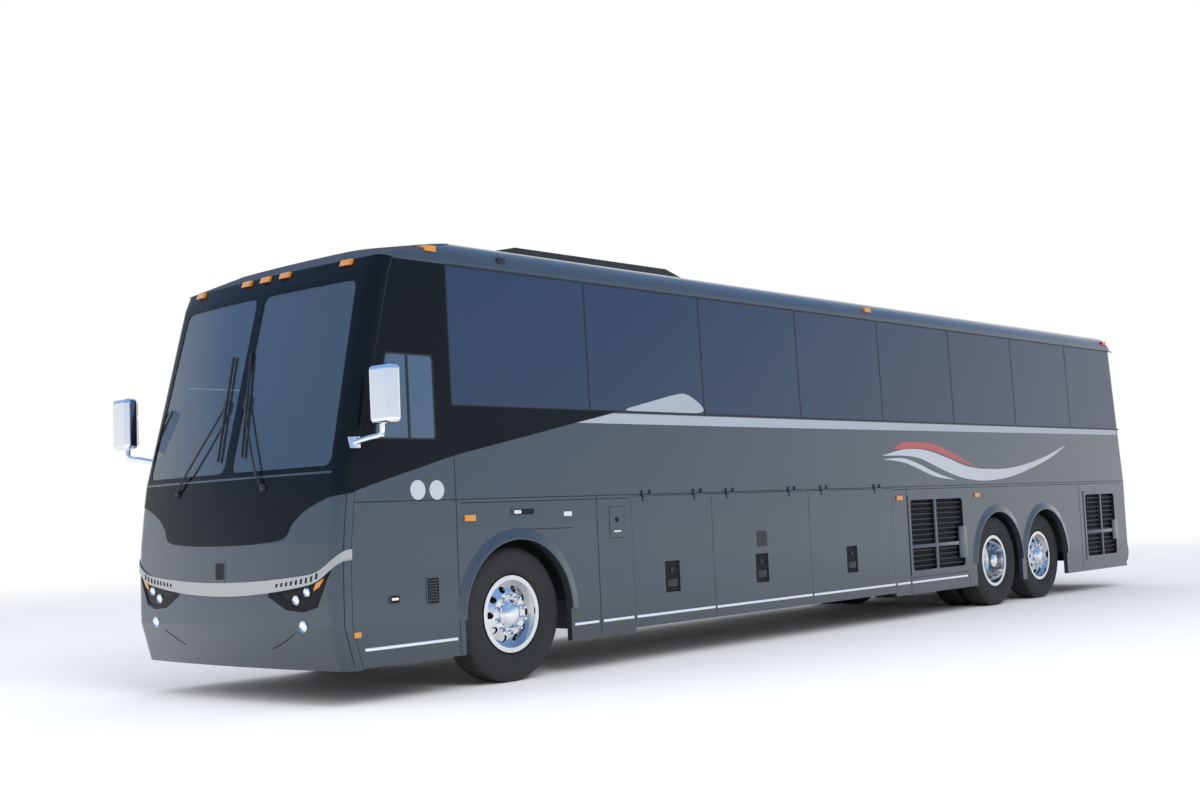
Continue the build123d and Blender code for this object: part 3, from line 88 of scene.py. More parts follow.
class Wiring:
    """Adds nodes to a node tree and links them."""

    def __init__(self, tree: bpy.types.NodeTree) -> None:
        """Work on one tree."""
        self.tree = tree

    def feed(self, node: bpy.types.Node, inputs: dict[str | int, Feed]) -> None:
        """Link outputs to a node's inputs and set plain values on them.

        Args:
            node: The node.
            inputs: What each input gets, an output of another node or a value.
        """
        for socket, value in inputs.items():
            if isinstance(value, Socket):
                self.tree.links.new(value, node.inputs[socket])
            else:
                node.inputs[socket].default_value = value

    def add(self, kind: str, inputs: dict[str | int, Feed], **choices: str) -> bpy.types.Node:
        """Add a node.

        Args:
            kind: Its type, without the words that all types of shader nodes start with.
            inputs: What each input gets.
            choices: Its own settings.

        Returns:
            The node.
        """
        node = self.tree.nodes.new(f"ShaderNode{kind}")
        for setting, choice in choices.items():
            setattr(node, setting, choice)
        self.feed(node, inputs)
        return node

    def blend(self, share: Socket, first: Feed, second: Feed) -> Socket:
        """Mix of two colours by the share of the second."""
        return self.add("Mix", {"Factor": share, "A": first, "B": second}, data_type="RGBA").outputs["Result"]

    def combine(self, operation: str, first: Socket, second: Socket) -> Socket:
        """Number worked out from two others."""
        return self.add("Math", {0: first, 1: second}, operation=operation).outputs[0]

    def remap(self, value: Socket, source: Flat, target: Flat, **choices: str) -> Socket:
        """Number carried over from one range to another.

        Args:
            value: The number.
            source: Ends of the range that it comes from.
            target: Ends of the range that it goes to.
            choices: The node's own settings.

        Returns:
            The socket of the new number.
        """
        ends = {"From Min": source[0], "From Max": source[1], "To Min": target[0], "To Max": target[1]}
        return self.add("MapRange", {"Value": value, **ends}, **choices).outputs["Result"]


class Grain(Enum):
    """Fine structure that a finish shows from close by."""

    SPRAYED = "slow ripple of lacquered sheet"
    MOULDED = "fine pits of moulded plastic"
    WOVEN = "crossed threads of seat cloth"
    CAST = "coarse skin of castings and rubber"
    RIBBED = "upright ribs of a lamp lens"


@dataclass(frozen=True)
class Finish:
    """One surface finish, turned into a node material on first use.

    Shade and gloss drift by `variation` and `wear` over clouds of `cloud` per metre,
    and `bump` is the depth in metres of the grain at `grain_scale` per metre.
    """

    name: str
    slot: str
    color: Rgb
    roughness: float
    metallic: float = 0.0
    coat: float = 0.0
    transmission: float = 0.0
    ior: float = 1.5
    emission: float = 0.0
    variation: float = 0.12
    wear: float = 0.2
    cloud: float = 1.6
    grain: Grain = Grain.MOULDED
    grain_scale: float = 900.0
    bump: float = 0.0002
    # share of painted shade that darkens the colour towards the ground
    foot_shade: float = 0.0

    def material(self) -> bpy.types.Material:
        """Node material of this finish, made once and then shared.

        Returns:
            The material, with its clouds, gloss and grain as nodes.
        """
        found = bpy.data.materials.get(self.name)
        if found:
            return found
        material = bpy.data.materials.new(self.name)
        material.use_nodes = True
        wiring = Wiring(material.node_tree)
        place = wiring.add("TexCoord", {}).outputs["Object"]
        noise = {"Vector": place, "Scale": self.cloud, "Detail": CLOUD_DETAIL}
        clouds = wiring.add("TexNoise", noise).outputs["Fac"]
        color = wiring.blend(clouds, self._shaded(1 - self.variation), self._shaded(1 + self.variation))
        # darker towards the ground: painted shade
        if self.foot_shade:
            color = self._with_foot_shade(wiring, place, clouds, color)
        dullest = min(1.0, self.roughness * (1 + self.wear))
        gloss = wiring.remap(clouds, (0.0, 1.0), (self.roughness * (1 - self.wear), dullest))
        relief = {"Strength": 1.0, "Distance": self.bump, "Height": self._height(wiring, place)}
        shader = material.node_tree.nodes["Principled BSDF"]
        wiring.feed(shader, {
            "Base Color": color, "Roughness": gloss, "Normal": wiring.add("Bump", relief).outputs["Normal"],
            "Metallic": self.metallic, "IOR": self.ior, "Transmission Weight": self.transmission,
            "Coat Weight": self.coat, "Coat Roughness": COAT_ROUGHNESS, "Coat IOR": COAT_IOR,
        })
        if self.emission:
            wiring.feed(shader, {"Emission Color": (*self.color, 1), "Emission Strength": self.emission})
        return material

    def _shaded(self, factor: float) -> tuple[float, ...]:
        """Colour made lighter or darker by a factor, with its alpha."""
        return (*(min(1.0, part * factor) for part in self.color), 1)

    def _with_foot_shade(self, wiring: Wiring, place: Socket, clouds: Socket, color: Socket) -> Socket:
        """Colour with painted shade that darkens it towards the ground, fading out upwards and lying in
        clouds.

        Args:
            wiring: Nodes of the material.
            place: Where on the coach the surface is.
            clouds: The slow drift of its shade.
            color: The clean colour.

        Returns:
            The socket of the colour with its painted shade.
        """
        height = wiring.add("SeparateXYZ", {"Vector": place}).outputs["Z"]
        fall = wiring.remap(height, (FOOT_SHADE_TOP_Z, FOOT_SHADE_LOW_Z), (0.0, 2 * self.foot_shade))
        return wiring.blend(wiring.combine("MULTIPLY", fall, clouds), color, (*FOOT_SHADE_COLOR, 1))

    def _height(self, wiring: Wiring, place: Socket) -> Socket:
        """Height field of the grain.

        Args:
            wiring: Nodes of the material.
            place: Where on the coach the surface is.

        Returns:
            The socket that carries the height.
        """
        inputs = {"Vector": place, "Scale": self.grain_scale}
        if self.grain in (Grain.WOVEN, Grain.RIBBED):
            upright = wiring.add("TexWave", inputs, bands_direction="Y").outputs["Fac"]
            if self.grain is Grain.RIBBED:
                return upright
            level = wiring.add("TexWave", inputs, bands_direction="Z").outputs["Fac"]
            return wiring.combine("MAXIMUM", upright, level)
        kind = "TexVoronoi" if self.grain is Grain.MOULDED else "TexNoise"
        return wiring.add(kind, inputs).outputs[0]


# painted shade darkens the lacquer towards the ground, as it also does the tyres and the chassis below
PAINT = Finish("gunmetal_lacquer", "body_paint", (0.045, 0.064, 0.088), 0.3, metallic=0.35, coat=1.0,
               ior=1.32, variation=0.06, cloud=0.8, grain=Grain.SPRAYED, grain_scale=2.2, bump=0.0007,
               foot_shade=0.4)
# dark navy with almost no gloss, laid over the roof's sloping front: painted shade in place of the bright
# reflection that the gloss would show there
BROW_SHADE = Finish("dark_brow_painted_shade", "body_paint", (0.055, 0.072, 0.108), 0.6, ior=1.03, variation=0.08,
              cloud=0.8, grain=Grain.SPRAYED, grain_scale=2.2, bump=0.0004)
SILVER_FILM = Finish("silver_film", "body_paint", (0.31, 0.35, 0.41), 0.3, coat=0.3, variation=0.05,
                     grain=Grain.SPRAYED, grain_scale=2.2, bump=0.001)
WHITE_FILM = replace(SILVER_FILM, name="white_film", color=(0.43, 0.46, 0.51), variation=0.04)
RED_FILM = replace(SILVER_FILM, name="red_film", color=(0.36, 0.055, 0.065), variation=0.06)
BLACK_GLOSS = Finish("black_gloss_panel", "black_plastic", (0.004, 0.006, 0.009), 0.05, ior=1.24,
                     variation=0.2, grain=Grain.SPRAYED, grain_scale=2.0, bump=0.0005)
SIDE_GLASS = Finish("smoked_side_glass", "dark_glass", (0.006, 0.030, 0.085), 0.02, transmission=0.25,
                    ior=1.6, variation=0.08, cloud=0.5, grain=Grain.SPRAYED, grain_scale=1.3, bump=0.0006)
CAB_GLASS = replace(SIDE_GLASS, name="cab_window_glass", color=(0.020, 0.070, 0.140), transmission=0.2,
                    ior=1.95, bump=0.0004)
SCREEN_GLASS = replace(SIDE_GLASS, name="windscreen_glass", slot="screen_glass", color=(0.30, 0.38, 0.46),
                       roughness=0.015, transmission=0.94, ior=1.9, variation=0.03, grain_scale=1.0,
                       bump=0.0004)
SATIN = Finish("satin_alloy_band", "bright_trim", (0.50, 0.50, 0.49), 0.34, metallic=1.0, variation=0.05,
               cloud=3.0, grain=Grain.SPRAYED, grain_scale=6.0, bump=0.0004)
CHROME = Finish("bright_chrome", "bright_trim", (0.83, 0.84, 0.86), 0.07, metallic=1.0, variation=0.04,
                grain=Grain.SPRAYED, grain_scale=6.0, bump=0.0006)
ALLOY = Finish("polished_alloy_wheel", "polished_alloy", (0.72, 0.73, 0.75), 0.14, metallic=1.0,
               variation=0.06, cloud=9.0, grain=Grain.SPRAYED, grain_scale=22.0, bump=0.0004)
RUBBER = Finish("tyre_rubber", "tyre_rubber", (0.011, 0.012, 0.013), 0.72, variation=0.3, cloud=7.0,
                grain=Grain.CAST, grain_scale=160.0, bump=0.0006, foot_shade=0.12)
SEAL = Finish("window_seal", "black_plastic", (0.008, 0.008, 0.009), 0.5, grain=Grain.CAST, grain_scale=260.0)
PLASTIC = Finish("black_moulding", "black_plastic", (0.014, 0.015, 0.017), 0.42, variation=0.2, cloud=4.0)
# near black of the dark joints, and painted shade inside slots, louvres, pockets, vents and grips and behind
# the grilles
JOINT_AND_SHADE_BLACK = Finish("dark_joint_and_recess_shade", "black_plastic", (0.006, 0.007, 0.008), 0.8, variation=0.2)
FRAME_BLACK = Finish("chassis_black", "frame_black", (0.02, 0.02, 0.021), 0.55, variation=0.35, cloud=6.0,
                     grain=Grain.CAST, grain_scale=120.0, bump=0.0008, foot_shade=0.4)
FLOOR_GREY = Finish("floor_covering", "floor_grey", (0.09, 0.092, 0.095), 0.7, variation=0.15, cloud=12.0)
IRON = Finish("engine_casting", "engine_iron", (0.07, 0.07, 0.072), 0.6, metallic=0.4, variation=0.3,
              cloud=5.0, grain=Grain.CAST, grain_scale=90.0, bump=0.001)
CLOTH = Finish("seat_cloth", "seat_fabric", (0.05, 0.055, 0.066), 0.9, variation=0.25, cloud=20.0,
               grain=Grain.WOVEN, grain_scale=260.0, bump=0.0007)
LEATHER = Finish("headrest_leather", "seat_fabric", (0.03, 0.031, 0.034), 0.5, variation=0.2, cloud=15.0,
                 grain=Grain.CAST, grain_scale=320.0, bump=0.0005)
AMBER = Finish("amber_lens", "lamp_amber", (0.52, 0.20, 0.02), 0.12, coat=1.0, emission=0.08, variation=0.1,
               cloud=30.0, grain=Grain.RIBBED, grain_scale=60.0, bump=0.0006)
RED = replace(AMBER, name="red_lens", slot="lamp_red", color=(0.5, 0.012, 0.012), emission=0.1)
CLEAR = replace(AMBER, name="clear_lens", slot="lamp_clear", color=(0.82, 0.85, 0.9), roughness=0.08,
                metallic=0.35, emission=0.15, grain_scale=45.0)
SMOKED_LENS = Finish("smoked_headlamp", "lamp_clear", (0.008, 0.010, 0.012), 0.05, ior=1.26, variation=0.2,
                     grain=Grain.SPRAYED, grain_scale=3.0, bump=0.0006)
STUDIO_FLOOR = Finish("studio_floor", "stage", (0.94, 0.94, 0.94), 0.9, variation=0.01)

SLOT_FINISHES = {
    "body_paint": PAINT, "dark_glass": SIDE_GLASS, "screen_glass": SCREEN_GLASS, "bright_trim": CHROME,
    "lamp_clear": SMOKED_LENS, "lamp_amber": AMBER, "lamp_red": RED, "black_plastic": PLASTIC,
    "frame_black": FRAME_BLACK, "floor_grey": FLOOR_GREY, "seat_fabric": CLOTH, "engine_iron": IRON,
    "tyre_rubber": RUBBER, "polished_alloy": ALLOY,
}
NODE_FINISHES = {"nose_band": SATIN}


def smooth_path(nodes: Sequence[Sequence[float]], steps: int = 8) -> list[tuple[float, ...]]:
    """Smooth line through a few nodes of any number of columns.

    Args:
        nodes: Rows of numbers that the line passes through.
        steps: Points made between two nodes.

    Returns:
        Rows along the line, ends included.
    """
    padded = [nodes[0], *nodes, nodes[-1]]
    rows = []
    for before, start, end, after in zip(padded, padded[1:], padded[2:], padded[3:]):
        for step in range(steps):
            t = step / steps
            rows.append(tuple(
                0.5 * (2 * b + (c - a) * t + (2 * a - 5 * b + 4 * c - d) * t**2
                       + (3 * b - a - 3 * c + d) * t**3)
                for a, b, c, d in zip(before, start, end, after)
            ))
    return [*rows, tuple(nodes[-1])]


def rounded(corners: Sequence[Flat], radius: float, steps: int = 5) -> list[Flat]:
    """Outline with its corners rounded off.

    Args:
        corners: Corners in order.
        radius: Distance from each corner at which its rounding starts.
        steps: Runs of each rounding.

    Returns:
        Points of the rounded outline.
    """
    outline = []
    for index, corner in enumerate(corners):
        here = Vector(corner)
        before = Vector(corners[index - 1]) - here
        after = Vector(corners[(index + 1) % len(corners)]) - here
        start = here + before.normalized() * min(radius, before.length / 2)
        end = here + after.normalized() * min(radius, after.length / 2)
        for step in range(steps + 1):
            t = step / steps
            outline.append(tuple((1 - t) ** 2 * start + 2 * t * (1 - t) * here + t**2 * end))
    return outline


def level_at(rows: Sequence[Flat], place: float) -> float:
    """Second column of rows at a place in the first, which rises.

    Args:
        rows: Corners of the line.
        place: Where its level is asked for.

    Returns:
        The level there, or that of the last row beyond it.
    """
    for (start, low), (end, high) in zip(rows, rows[1:]):
        if place <= end:
            return low + (high - low) * (place - start) / (end - start)
    return rows[-1][1]


def bow_columns(count: int, pitch: float = 0.1) -> list[float]:
    """Places each way from the middle at which a panel is divided to follow a bowed end."""
    return [step * pitch for step in range(-count, count + 1)]


def flipped(outline: Iterable[Flat]) -> list[Flat]:
    """Outline on the other side of the middle."""
    return [(-u, v) for u, v in outline]


@dataclass(frozen=True)
class Patch:
    """Rectangle on the skin, from start to end along it and from foot to head."""

    start: float
    end: float
    foot: float
    head: float

    @classmethod
    def about(cls, u: float, v: float, half_u: float, half_v: float) -> "Patch":
        """Rectangle about its middle."""
        return cls(u - half_u, u + half_u, v - half_v, v + half_v)

    def outline(self, radius: float = 0.0, grow: float = 0.0) -> list[Flat]:
        """Outline of the rectangle.

        Args:
            radius: Distance from each corner at which its rounding starts.
            grow: How far the outline lies outside the rectangle.

        Returns:
            The corners, or the points of the rounded outline.
        """
        start, end = self.start - grow, self.end + grow
        foot, head = self.foot - grow, self.head + grow
        corners = [(start, foot), (end, foot), (end, head), (start, head)]
        return rounded(corners, radius) if radius else corners


Plates = tuple[tuple[Patch, float, float], ...]
Rings = tuple[tuple[Patch, float, float, float], ...]


@dataclass(frozen=True)
class Shell:
    """Outer skin of the coach: straight sides that lean in above the belt, and a bowed nose."""

    half_length: float = 6.8725
    half_width: float = 1.295
    belt_z: float = 1.416
    cant_z: float = 3.215
    tumblehome: float = 0.040
    front_arc: float = 11.0
    corner: float = 0.110
    cap_return: float = 0.024
    front_seam: float = 0.204
    rear_seam: float = 0.184
    # columns: height, setback from the end
    front_profile: Outline = (
        (0.255, 0.095), (0.560, 0.010), (0.900, 0.010), (1.150, 0.020),
        (1.416, 0.050), (1.640, 0.082), (3.090, 0.455), (3.215, 0.508),
    )
    rear_profile: Outline = (
        (0.330, 0.060), (0.420, 0.0), (0.520, 0.0), (0.545, 0.022), (1.416, 0.022), (3.215, 0.150),
    )

    def side_y(self, z: float) -> float:
        """Half the width at a height."""
        lean = max(0.0, z - self.belt_z) / (self.cant_z - self.belt_z)
        return self.half_width - self.tumblehome * lean

    def side(self, x: float, z: float, lift: float) -> Vector:
        """Point off the left side."""
        return Vector((x, self.side_y(z) + lift, z))

    def _tip_x(self, z: float) -> float:
        """X of the nose on the centre line at a height."""
        return self.half_length - level_at(self.front_profile, z)

    def seam_x(self, z: float) -> float:
        """X of the front cap's seam at a height."""
        return self._tip_x(z) - self.front_seam

    def _end(self, y: float, tip: float, half: float, lift: float) -> float:
        """X of a bowed end with round corners, in plan.

        Args:
            y: Distance from the centre line.
            tip: X of the end on the centre line.
            half: Half the width at this height.
            lift: Distance off the skin.

        Returns:
            X of the point.
        """
        centre_y = half - self.corner
        reach = math.sqrt((self.front_arc - self.corner) ** 2 - centre_y**2)
        touch = centre_y * (self.front_arc + lift) / (self.front_arc - self.corner)
        if abs(y) <= touch:
            return tip - self.front_arc + math.sqrt((self.front_arc + lift) ** 2 - y**2)
        off = min(abs(y) - centre_y, self.corner + lift)
        return tip - self.front_arc + reach + math.sqrt((self.corner + lift) ** 2 - off**2)

    def nose(self, y: float, z: float, lift: float) -> Vector:
        """Point off the front skin."""
        return Vector((self._end(y, self._tip_x(z), self.side_y(z), lift), y, z))

    def tail(self, y: float, z: float, lift: float) -> Vector:
        """Point off the rear skin."""
        tip = self.half_length - level_at(self.rear_profile, z)
        return Vector((-self._end(y, tip, self.side_y(z), lift), y, z))

    def _bend(self, z: float) -> Point:
        """Corner of the nose in plan.

        Args:
            z: Height.

        Returns:
            Y of the corner's middle, its start along the skin and the angle there.
        """
        centre_y = self.side_y(z) - self.corner
        start = math.asin(centre_y / (self.front_arc - self.corner))
        return centre_y, centre_y * self.front_arc / (self.front_arc - self.corner), start

    def front(self, u: float, z: float, lift: float) -> Vector:
        """Point off the front skin, measured along it from the middle, round the corner and back.

        Args:
            u: Distance along the skin, in plan.
            z: Height.
            lift: Distance off the skin.

        Returns:
            The point.
        """
        centre_y, touch, start = self._bend(z)
        run = abs(u) - touch
        if run <= 0:
            return self.nose(u, z, lift)
        reach = math.sqrt((self.front_arc - self.corner) ** 2 - centre_y**2)
        bend = self.corner * (math.pi / 2 - start)
        angle = start + min(run, bend) / self.corner
        arm = self.corner + lift
        x = self._tip_x(z) - self.front_arc + reach + arm * math.cos(angle) - max(0.0, run - bend)
        return Vector((x, math.copysign(centre_y + arm * math.sin(angle), u), z))

    def front_reach(self, z: float) -> float:
        """Distance along the front skin from the middle to just short of the cap's seam."""
        _, touch, start = self._bend(z)
        return touch + self.corner * (math.pi / 2 - start) + self.cap_return


SHELL = Shell()


class Mould:
    """Gathers the faces of one piece and turns them into an object that rides on a body.

    The methods that add faces or copies return the mould, so that one can follow another.
    """

    def __init__(self) -> None:
        """Start with no faces."""
        self.mesh = bmesh.new()

    def block(self, low: Point, high: Point, bevel: float = 0.0, steps: int = 2) -> "Mould":
        """Add a block with bevelled edges.

        Args:
            low: Lowest corner.
            high: Highest corner.
            bevel: Width of the bevels.
            steps: Runs of each bevel.

        Returns:
            This mould.
        """
        made = bmesh.ops.create_cube(self.mesh, size=1.0)["verts"]
        centre = (Vector(low) + Vector(high)) / 2
        size = Vector(high) - Vector(low)
        for vert in made:
            vert.co = Vector(a * b for a, b in zip(vert.co, size)) + centre
        if bevel:
            edges = list({edge for vert in made for edge in vert.link_edges})
            bmesh.ops.bevel(self.mesh, geom=edges, offset=bevel, segments=steps, profile=0.5, affect="EDGES")
        return self

    def lathe(self, profile: Sequence[Flat], centre: Sequence[float], axis: Point, sides: int = 40,
              closed: bool = False) -> "Mould":
        """Add a turned form.

        Args:
            profile: Rows of radius and distance along the axis.
            centre: Where the distance along the axis is zero.
            axis: Direction of the axis.
            sides: Flats round the form.
            closed: Whether the last row joins the first.

        Returns:
            This mould.
        """
        turn = Vector((0, 0, 1)).rotation_difference(Vector(axis)).to_matrix()
        rings = []
        for radius, along in profile:
            ring = []
            for index in range(sides if radius > NEAR else 1):
                angle = math.tau * index / sides
                spot = Vector((radius * math.cos(angle), radius * math.sin(angle), along))
                ring.append(self.mesh.verts.new(turn @ spot + Vector(centre)))
            rings.append(ring)
        pairs = list(zip(rings, rings[1:]))
        if closed:
            pairs.append((rings[-1], rings[0]))
        for first, second in pairs:
            for index in range(sides):
                places = ((first, index), (first, index + 1), (second, index + 1), (second, index))
                corners = list(dict.fromkeys(ring[at % len(ring)] for ring, at in places))
                if len(corners) > 2:
                    self.mesh.faces.new(corners)
        return self

    def _sweep(self, rings: Iterable[Iterable[Vector]]) -> "Mould":
        """Add a closed bar through rings of points.

        Args:
            rings: Rings of as many points each, in order along the bar.

        Returns:
            This mould.
        """
        made = [[self.mesh.verts.new(point) for point in ring] for ring in rings]
        for first, second in zip(made, made[1:]):
            for corners in zip(first, first[1:] + first[:1], second[1:] + second[:1], second):
                self.mesh.faces.new(corners)
        self.mesh.faces.new(made[0][::-1])
        self.mesh.faces.new(made[-1])
        return self

    def tube(self, points: Iterable[Sequence[float]], radius: float, sides: int = 12) -> "Mould":
        """Add a round bar along a line of points.

        Args:
            points: Points of its middle line.
            radius: Radius of the bar.
            sides: Flats round the bar.

        Returns:
            This mould.
        """
        line = [Vector(point) for point in points]
        side = (line[1] - line[0]).normalized().orthogonal().normalized()
        turns = [math.tau * step / sides for step in range(sides)]
        rings = []
        for point, before, after in zip(line, [line[0], *line], [*line[1:], line[-1]]):
            ahead = (after - before).normalized()
            side = (side - ahead * side.dot(ahead)).normalized()
            other = ahead.cross(side)
            spokes = [side * math.cos(turn) + other * math.sin(turn) for turn in turns]
            rings.append([point + radius * spoke for spoke in spokes])
        return self._sweep(rings)

    def band(self, upper: Iterable[Flat], lower: Iterable[Flat], surface: Surface, lift: float,
             thick: float) -> "Mould":
        """Add a thin strip between two lines on a surface.

        Args:
            upper: Points of one edge.
            lower: As many points of the other edge.
            surface: Gives a point from two measures and a distance off the skin.
            lift: Distance of the strip's back off the skin.
            thick: Thickness of the strip.

        Returns:
            This mould.
        """
        face = lift + thick
        return self._sweep(
            (surface(*over, lift), surface(*over, face), surface(*under, face), surface(*under, lift))
            for over, under in zip(upper, lower)
        )

    def _thicken(self, sheet: bmesh.types.BMesh, place: Callable[[bmesh.types.BMVert, float], Vector],
                 lift: float, thick: float) -> "Mould":
        """Close a flat sheet to a panel with a back, a face and a rim, and let the sheet go.

        Args:
            sheet: The sheet.
            place: Gives a point of the panel from a corner of the sheet and a distance off the skin.
            lift: Distance of the panel's back off the skin.
            thick: Thickness of the panel.

        Returns:
            This mould.
        """
        outer = {vert: self.mesh.verts.new(place(vert, lift + thick)) for vert in sheet.verts}
        inner = {vert: self.mesh.verts.new(place(vert, lift)) for vert in sheet.verts}
        for face in sheet.faces:
            self.mesh.faces.new([outer[vert] for vert in face.verts])
            self.mesh.faces.new([inner[vert] for vert in reversed(face.verts)])
        for edge in sheet.edges:
            if edge.is_boundary:
                first, second = edge.verts
                self.mesh.faces.new((inner[first], inner[second], outer[second], outer[first]))
        sheet.free()
        return self

    def wrap(self, outline: Sequence[Flat], surface: Surface, lift: float, thick: float,
             holes: Iterable[Sequence[Flat]] = (), columns: Iterable[float] = (),
             rows: Iterable[float] = ()) -> "Mould":
        """Add a thin panel that lies on a surface.

        Args:
            outline: Corners of the panel in the surface's two measures.
            surface: Gives a point from two measures and a distance off the skin.
            lift: Distance of the panel's back off the skin.
            thick: Thickness of the panel.
            holes: Outlines cut out of it.
            columns: First measures at which it is divided, to follow a bend.
            rows: Second measures at which it is divided.

        Returns:
            This mould.
        """
        sheet = bmesh.new()
        edges = []
        for loop in (outline, *holes):
            verts = [sheet.verts.new((u, v, 0)) for u, v in loop]
            edges += [sheet.edges.new(pair) for pair in zip(verts, verts[1:] + verts[:1])]
        bmesh.ops.triangle_fill(sheet, edges=edges, use_beauty=True)
        for normal, places in ((Vector((1, 0, 0)), columns), (Vector((0, 1, 0)), rows)):
            for place in places:
                parts = [*sheet.verts, *sheet.edges, *sheet.faces]
                bmesh.ops.bisect_plane(sheet, geom=parts, dist=NEAR, plane_co=normal * place, plane_no=normal)
        return self._thicken(sheet, lambda vert, off: surface(vert.co.x, vert.co.y, off), lift, thick)

    def skin(self, solid: bpy.types.Object, kept: Callable[[Vector], bool], lift: float,
             thick: float) -> "Mould":
        """Add a thin panel over some faces of a solid.

        Args:
            solid: The solid that carries it.
            kept: Tells from a face's outward normal whether the panel covers it.
            lift: Distance of the panel's back off the solid.
            thick: Thickness of the panel.

        Returns:
            This mould.
        """
        sheet = bmesh.new()
        sheet.from_mesh(solid.data)
        bmesh.ops.remove_doubles(sheet, verts=sheet.verts[:], dist=WELD)
        bare = [face for face in sheet.faces if not kept(face.normal)]
        bmesh.ops.delete(sheet, geom=bare, context="FACES")
        sheet.normal_update()
        return self._thicken(sheet, lambda vert, off: vert.co + vert.normal * off, lift, thick)

    def pad(self, centre: Sequence[float], size: Point, power: float = 4.0, crown: float = 0.0,
            cuts: int = 10, turn: Matrix = Matrix.Identity(3)) -> "Mould":
        """Add a crowned cushion whose sides pull in towards its corners.

        Args:
            centre: Middle of the cushion.
            size: Its length, width and height.
            power: How square it is, 2 for a ball.
            crown: Extra height in the middle of its top.
            cuts: Divisions along each edge.
            turn: Rotation about the middle.

        Returns:
            This mould.
        """
        ball = bmesh.new()
        bmesh.ops.create_cube(ball, size=2.0)
        bmesh.ops.subdivide_edges(ball, edges=ball.edges[:], cuts=cuts, use_grid_fill=True)
        made = {}
        for vert in ball.verts:
            spot = vert.co / sum(abs(part) ** power for part in vert.co) ** (1 / power)
            spot.z += crown * max(0.0, spot.z) * (1 - spot.x**2) * (1 - spot.y**2)
            spot = Vector(a * b / 2 for a, b in zip(spot, size))
            made[vert] = self.mesh.verts.new(turn @ spot + Vector(centre))
        for face in ball.faces:
            self.mesh.faces.new([made[vert] for vert in face.verts])
        ball.free()
        return self

    def repeat(self, *places: Matrix) -> "Mould":
        """Put copies of all that is gathered at each place, instead of where it is.

        Args:
            places: Where the copies go.

        Returns:
            This mould.
        """
        source = self.mesh.copy()
        self.mesh.clear()
        for place in places:
            made = {vert: self.mesh.verts.new(place @ vert.co) for vert in source.verts}
            mirrored = place.determinant() < 0
            for face in source.faces:
                corners = [made[vert] for vert in face.verts]
                self.mesh.faces.new(reversed(corners) if mirrored else corners)
        source.free()
        return self

    def both_sides(self) -> "Mould":
        """Add the mirror image on the coach's other side."""
        return self.repeat(STAY, MIRROR)

    def piece(self, name: str, finish: Finish, body: str = BODY,
              replaced: Sequence[str] = ()) -> bpy.types.Object:
        """Close the mould and make its object.

        Args:
            name: Name of the piece.
            finish: Its surface.
            body: Body that it rides on.
            replaced: Solids that it stands for.

        Returns:
            The new object.
        """
        bmesh.ops.recalc_face_normals(self.mesh, faces=self.mesh.faces[:])
        data = bpy.data.meshes.new(name)
        self.mesh.to_mesh(data)
        self.mesh.free()
        data.polygons.foreach_set("use_smooth", [True] * len(data.polygons))
        data.set_sharp_from_angle(angle=SMOOTH_ANGLE)
        data.materials.append(finish.material())
        made = bpy.data.objects.new(name, data)
        bpy.context.scene.collection.objects.link(made)
        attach(made, body)
        if replaced:
            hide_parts(*replaced)
        LOG.info("%s: %d faces on %s", name, len(data.polygons), body)
        return made


@dataclass(frozen=True)
class RoundLamp:
    """Round lamp: a turned ring and a domed lens, in shares of the lamp's radius."""

    axis: Point
    # columns: share of the radius, distance along the axis
    ring: Outline
    lens: float
    foot: float
    rise: float
    turns: tuple[float, ...]
    # flats round the ring and the lens
    sides: tuple[int, int]

    def add(self, rings: Mould, lenses: Mould, centre: Vector, radius: float) -> None:
        """Add one lamp.

        Args:
            rings: Mould of the rings.
            lenses: Mould of the lenses.
            centre: Middle of its back.
            radius: Its radius.
        """
        ring_sides, lens_sides = self.sides
        profile = [(radius * share, along) for share, along in self.ring]
        rings.lathe(profile, centre, self.axis, ring_sides, closed=True)
        edge, rise = radius * self.lens, radius * self.rise
        dome = [(edge * math.cos(turn), self.foot + rise * math.sin(turn)) for turn in self.turns]
        section = [(0.0, 0.0), (edge, 0.0), *dome, (0.0, self.foot + rise)]
        lenses.lathe(section, centre, self.axis, lens_sides)


@dataclass
class Coachwork:
    """Finishes of the solids that show as they are, and a dark film of painted shade over the roof's front
    above the windscreen.
    """

    brow_film: Flat = (0.0004, 0.0016)
    brow_slope: float = 0.12

    def build(self) -> None:
        """Give each solid the finish of its slot, and cover the roof's sloping front with a film of painted
        shade.
        """
        for row in frame["record"]["subparts"]:
            solid = frame["nodes"][row["node"]]
            finish = NODE_FINISHES.get(row["node"], SLOT_FINISHES[row["material_slot"]])
            solid.data.materials.clear()
            solid.data.materials.append(finish.material())
            LOG.info("%s: %s", row["node"], finish.name)
        roof = frame["nodes"]["roof"]
        brow = Mould().skin(roof, lambda normal: normal.x > self.brow_slope, *self.brow_film)
        brow.piece("roof_brow", BROW_SHADE)


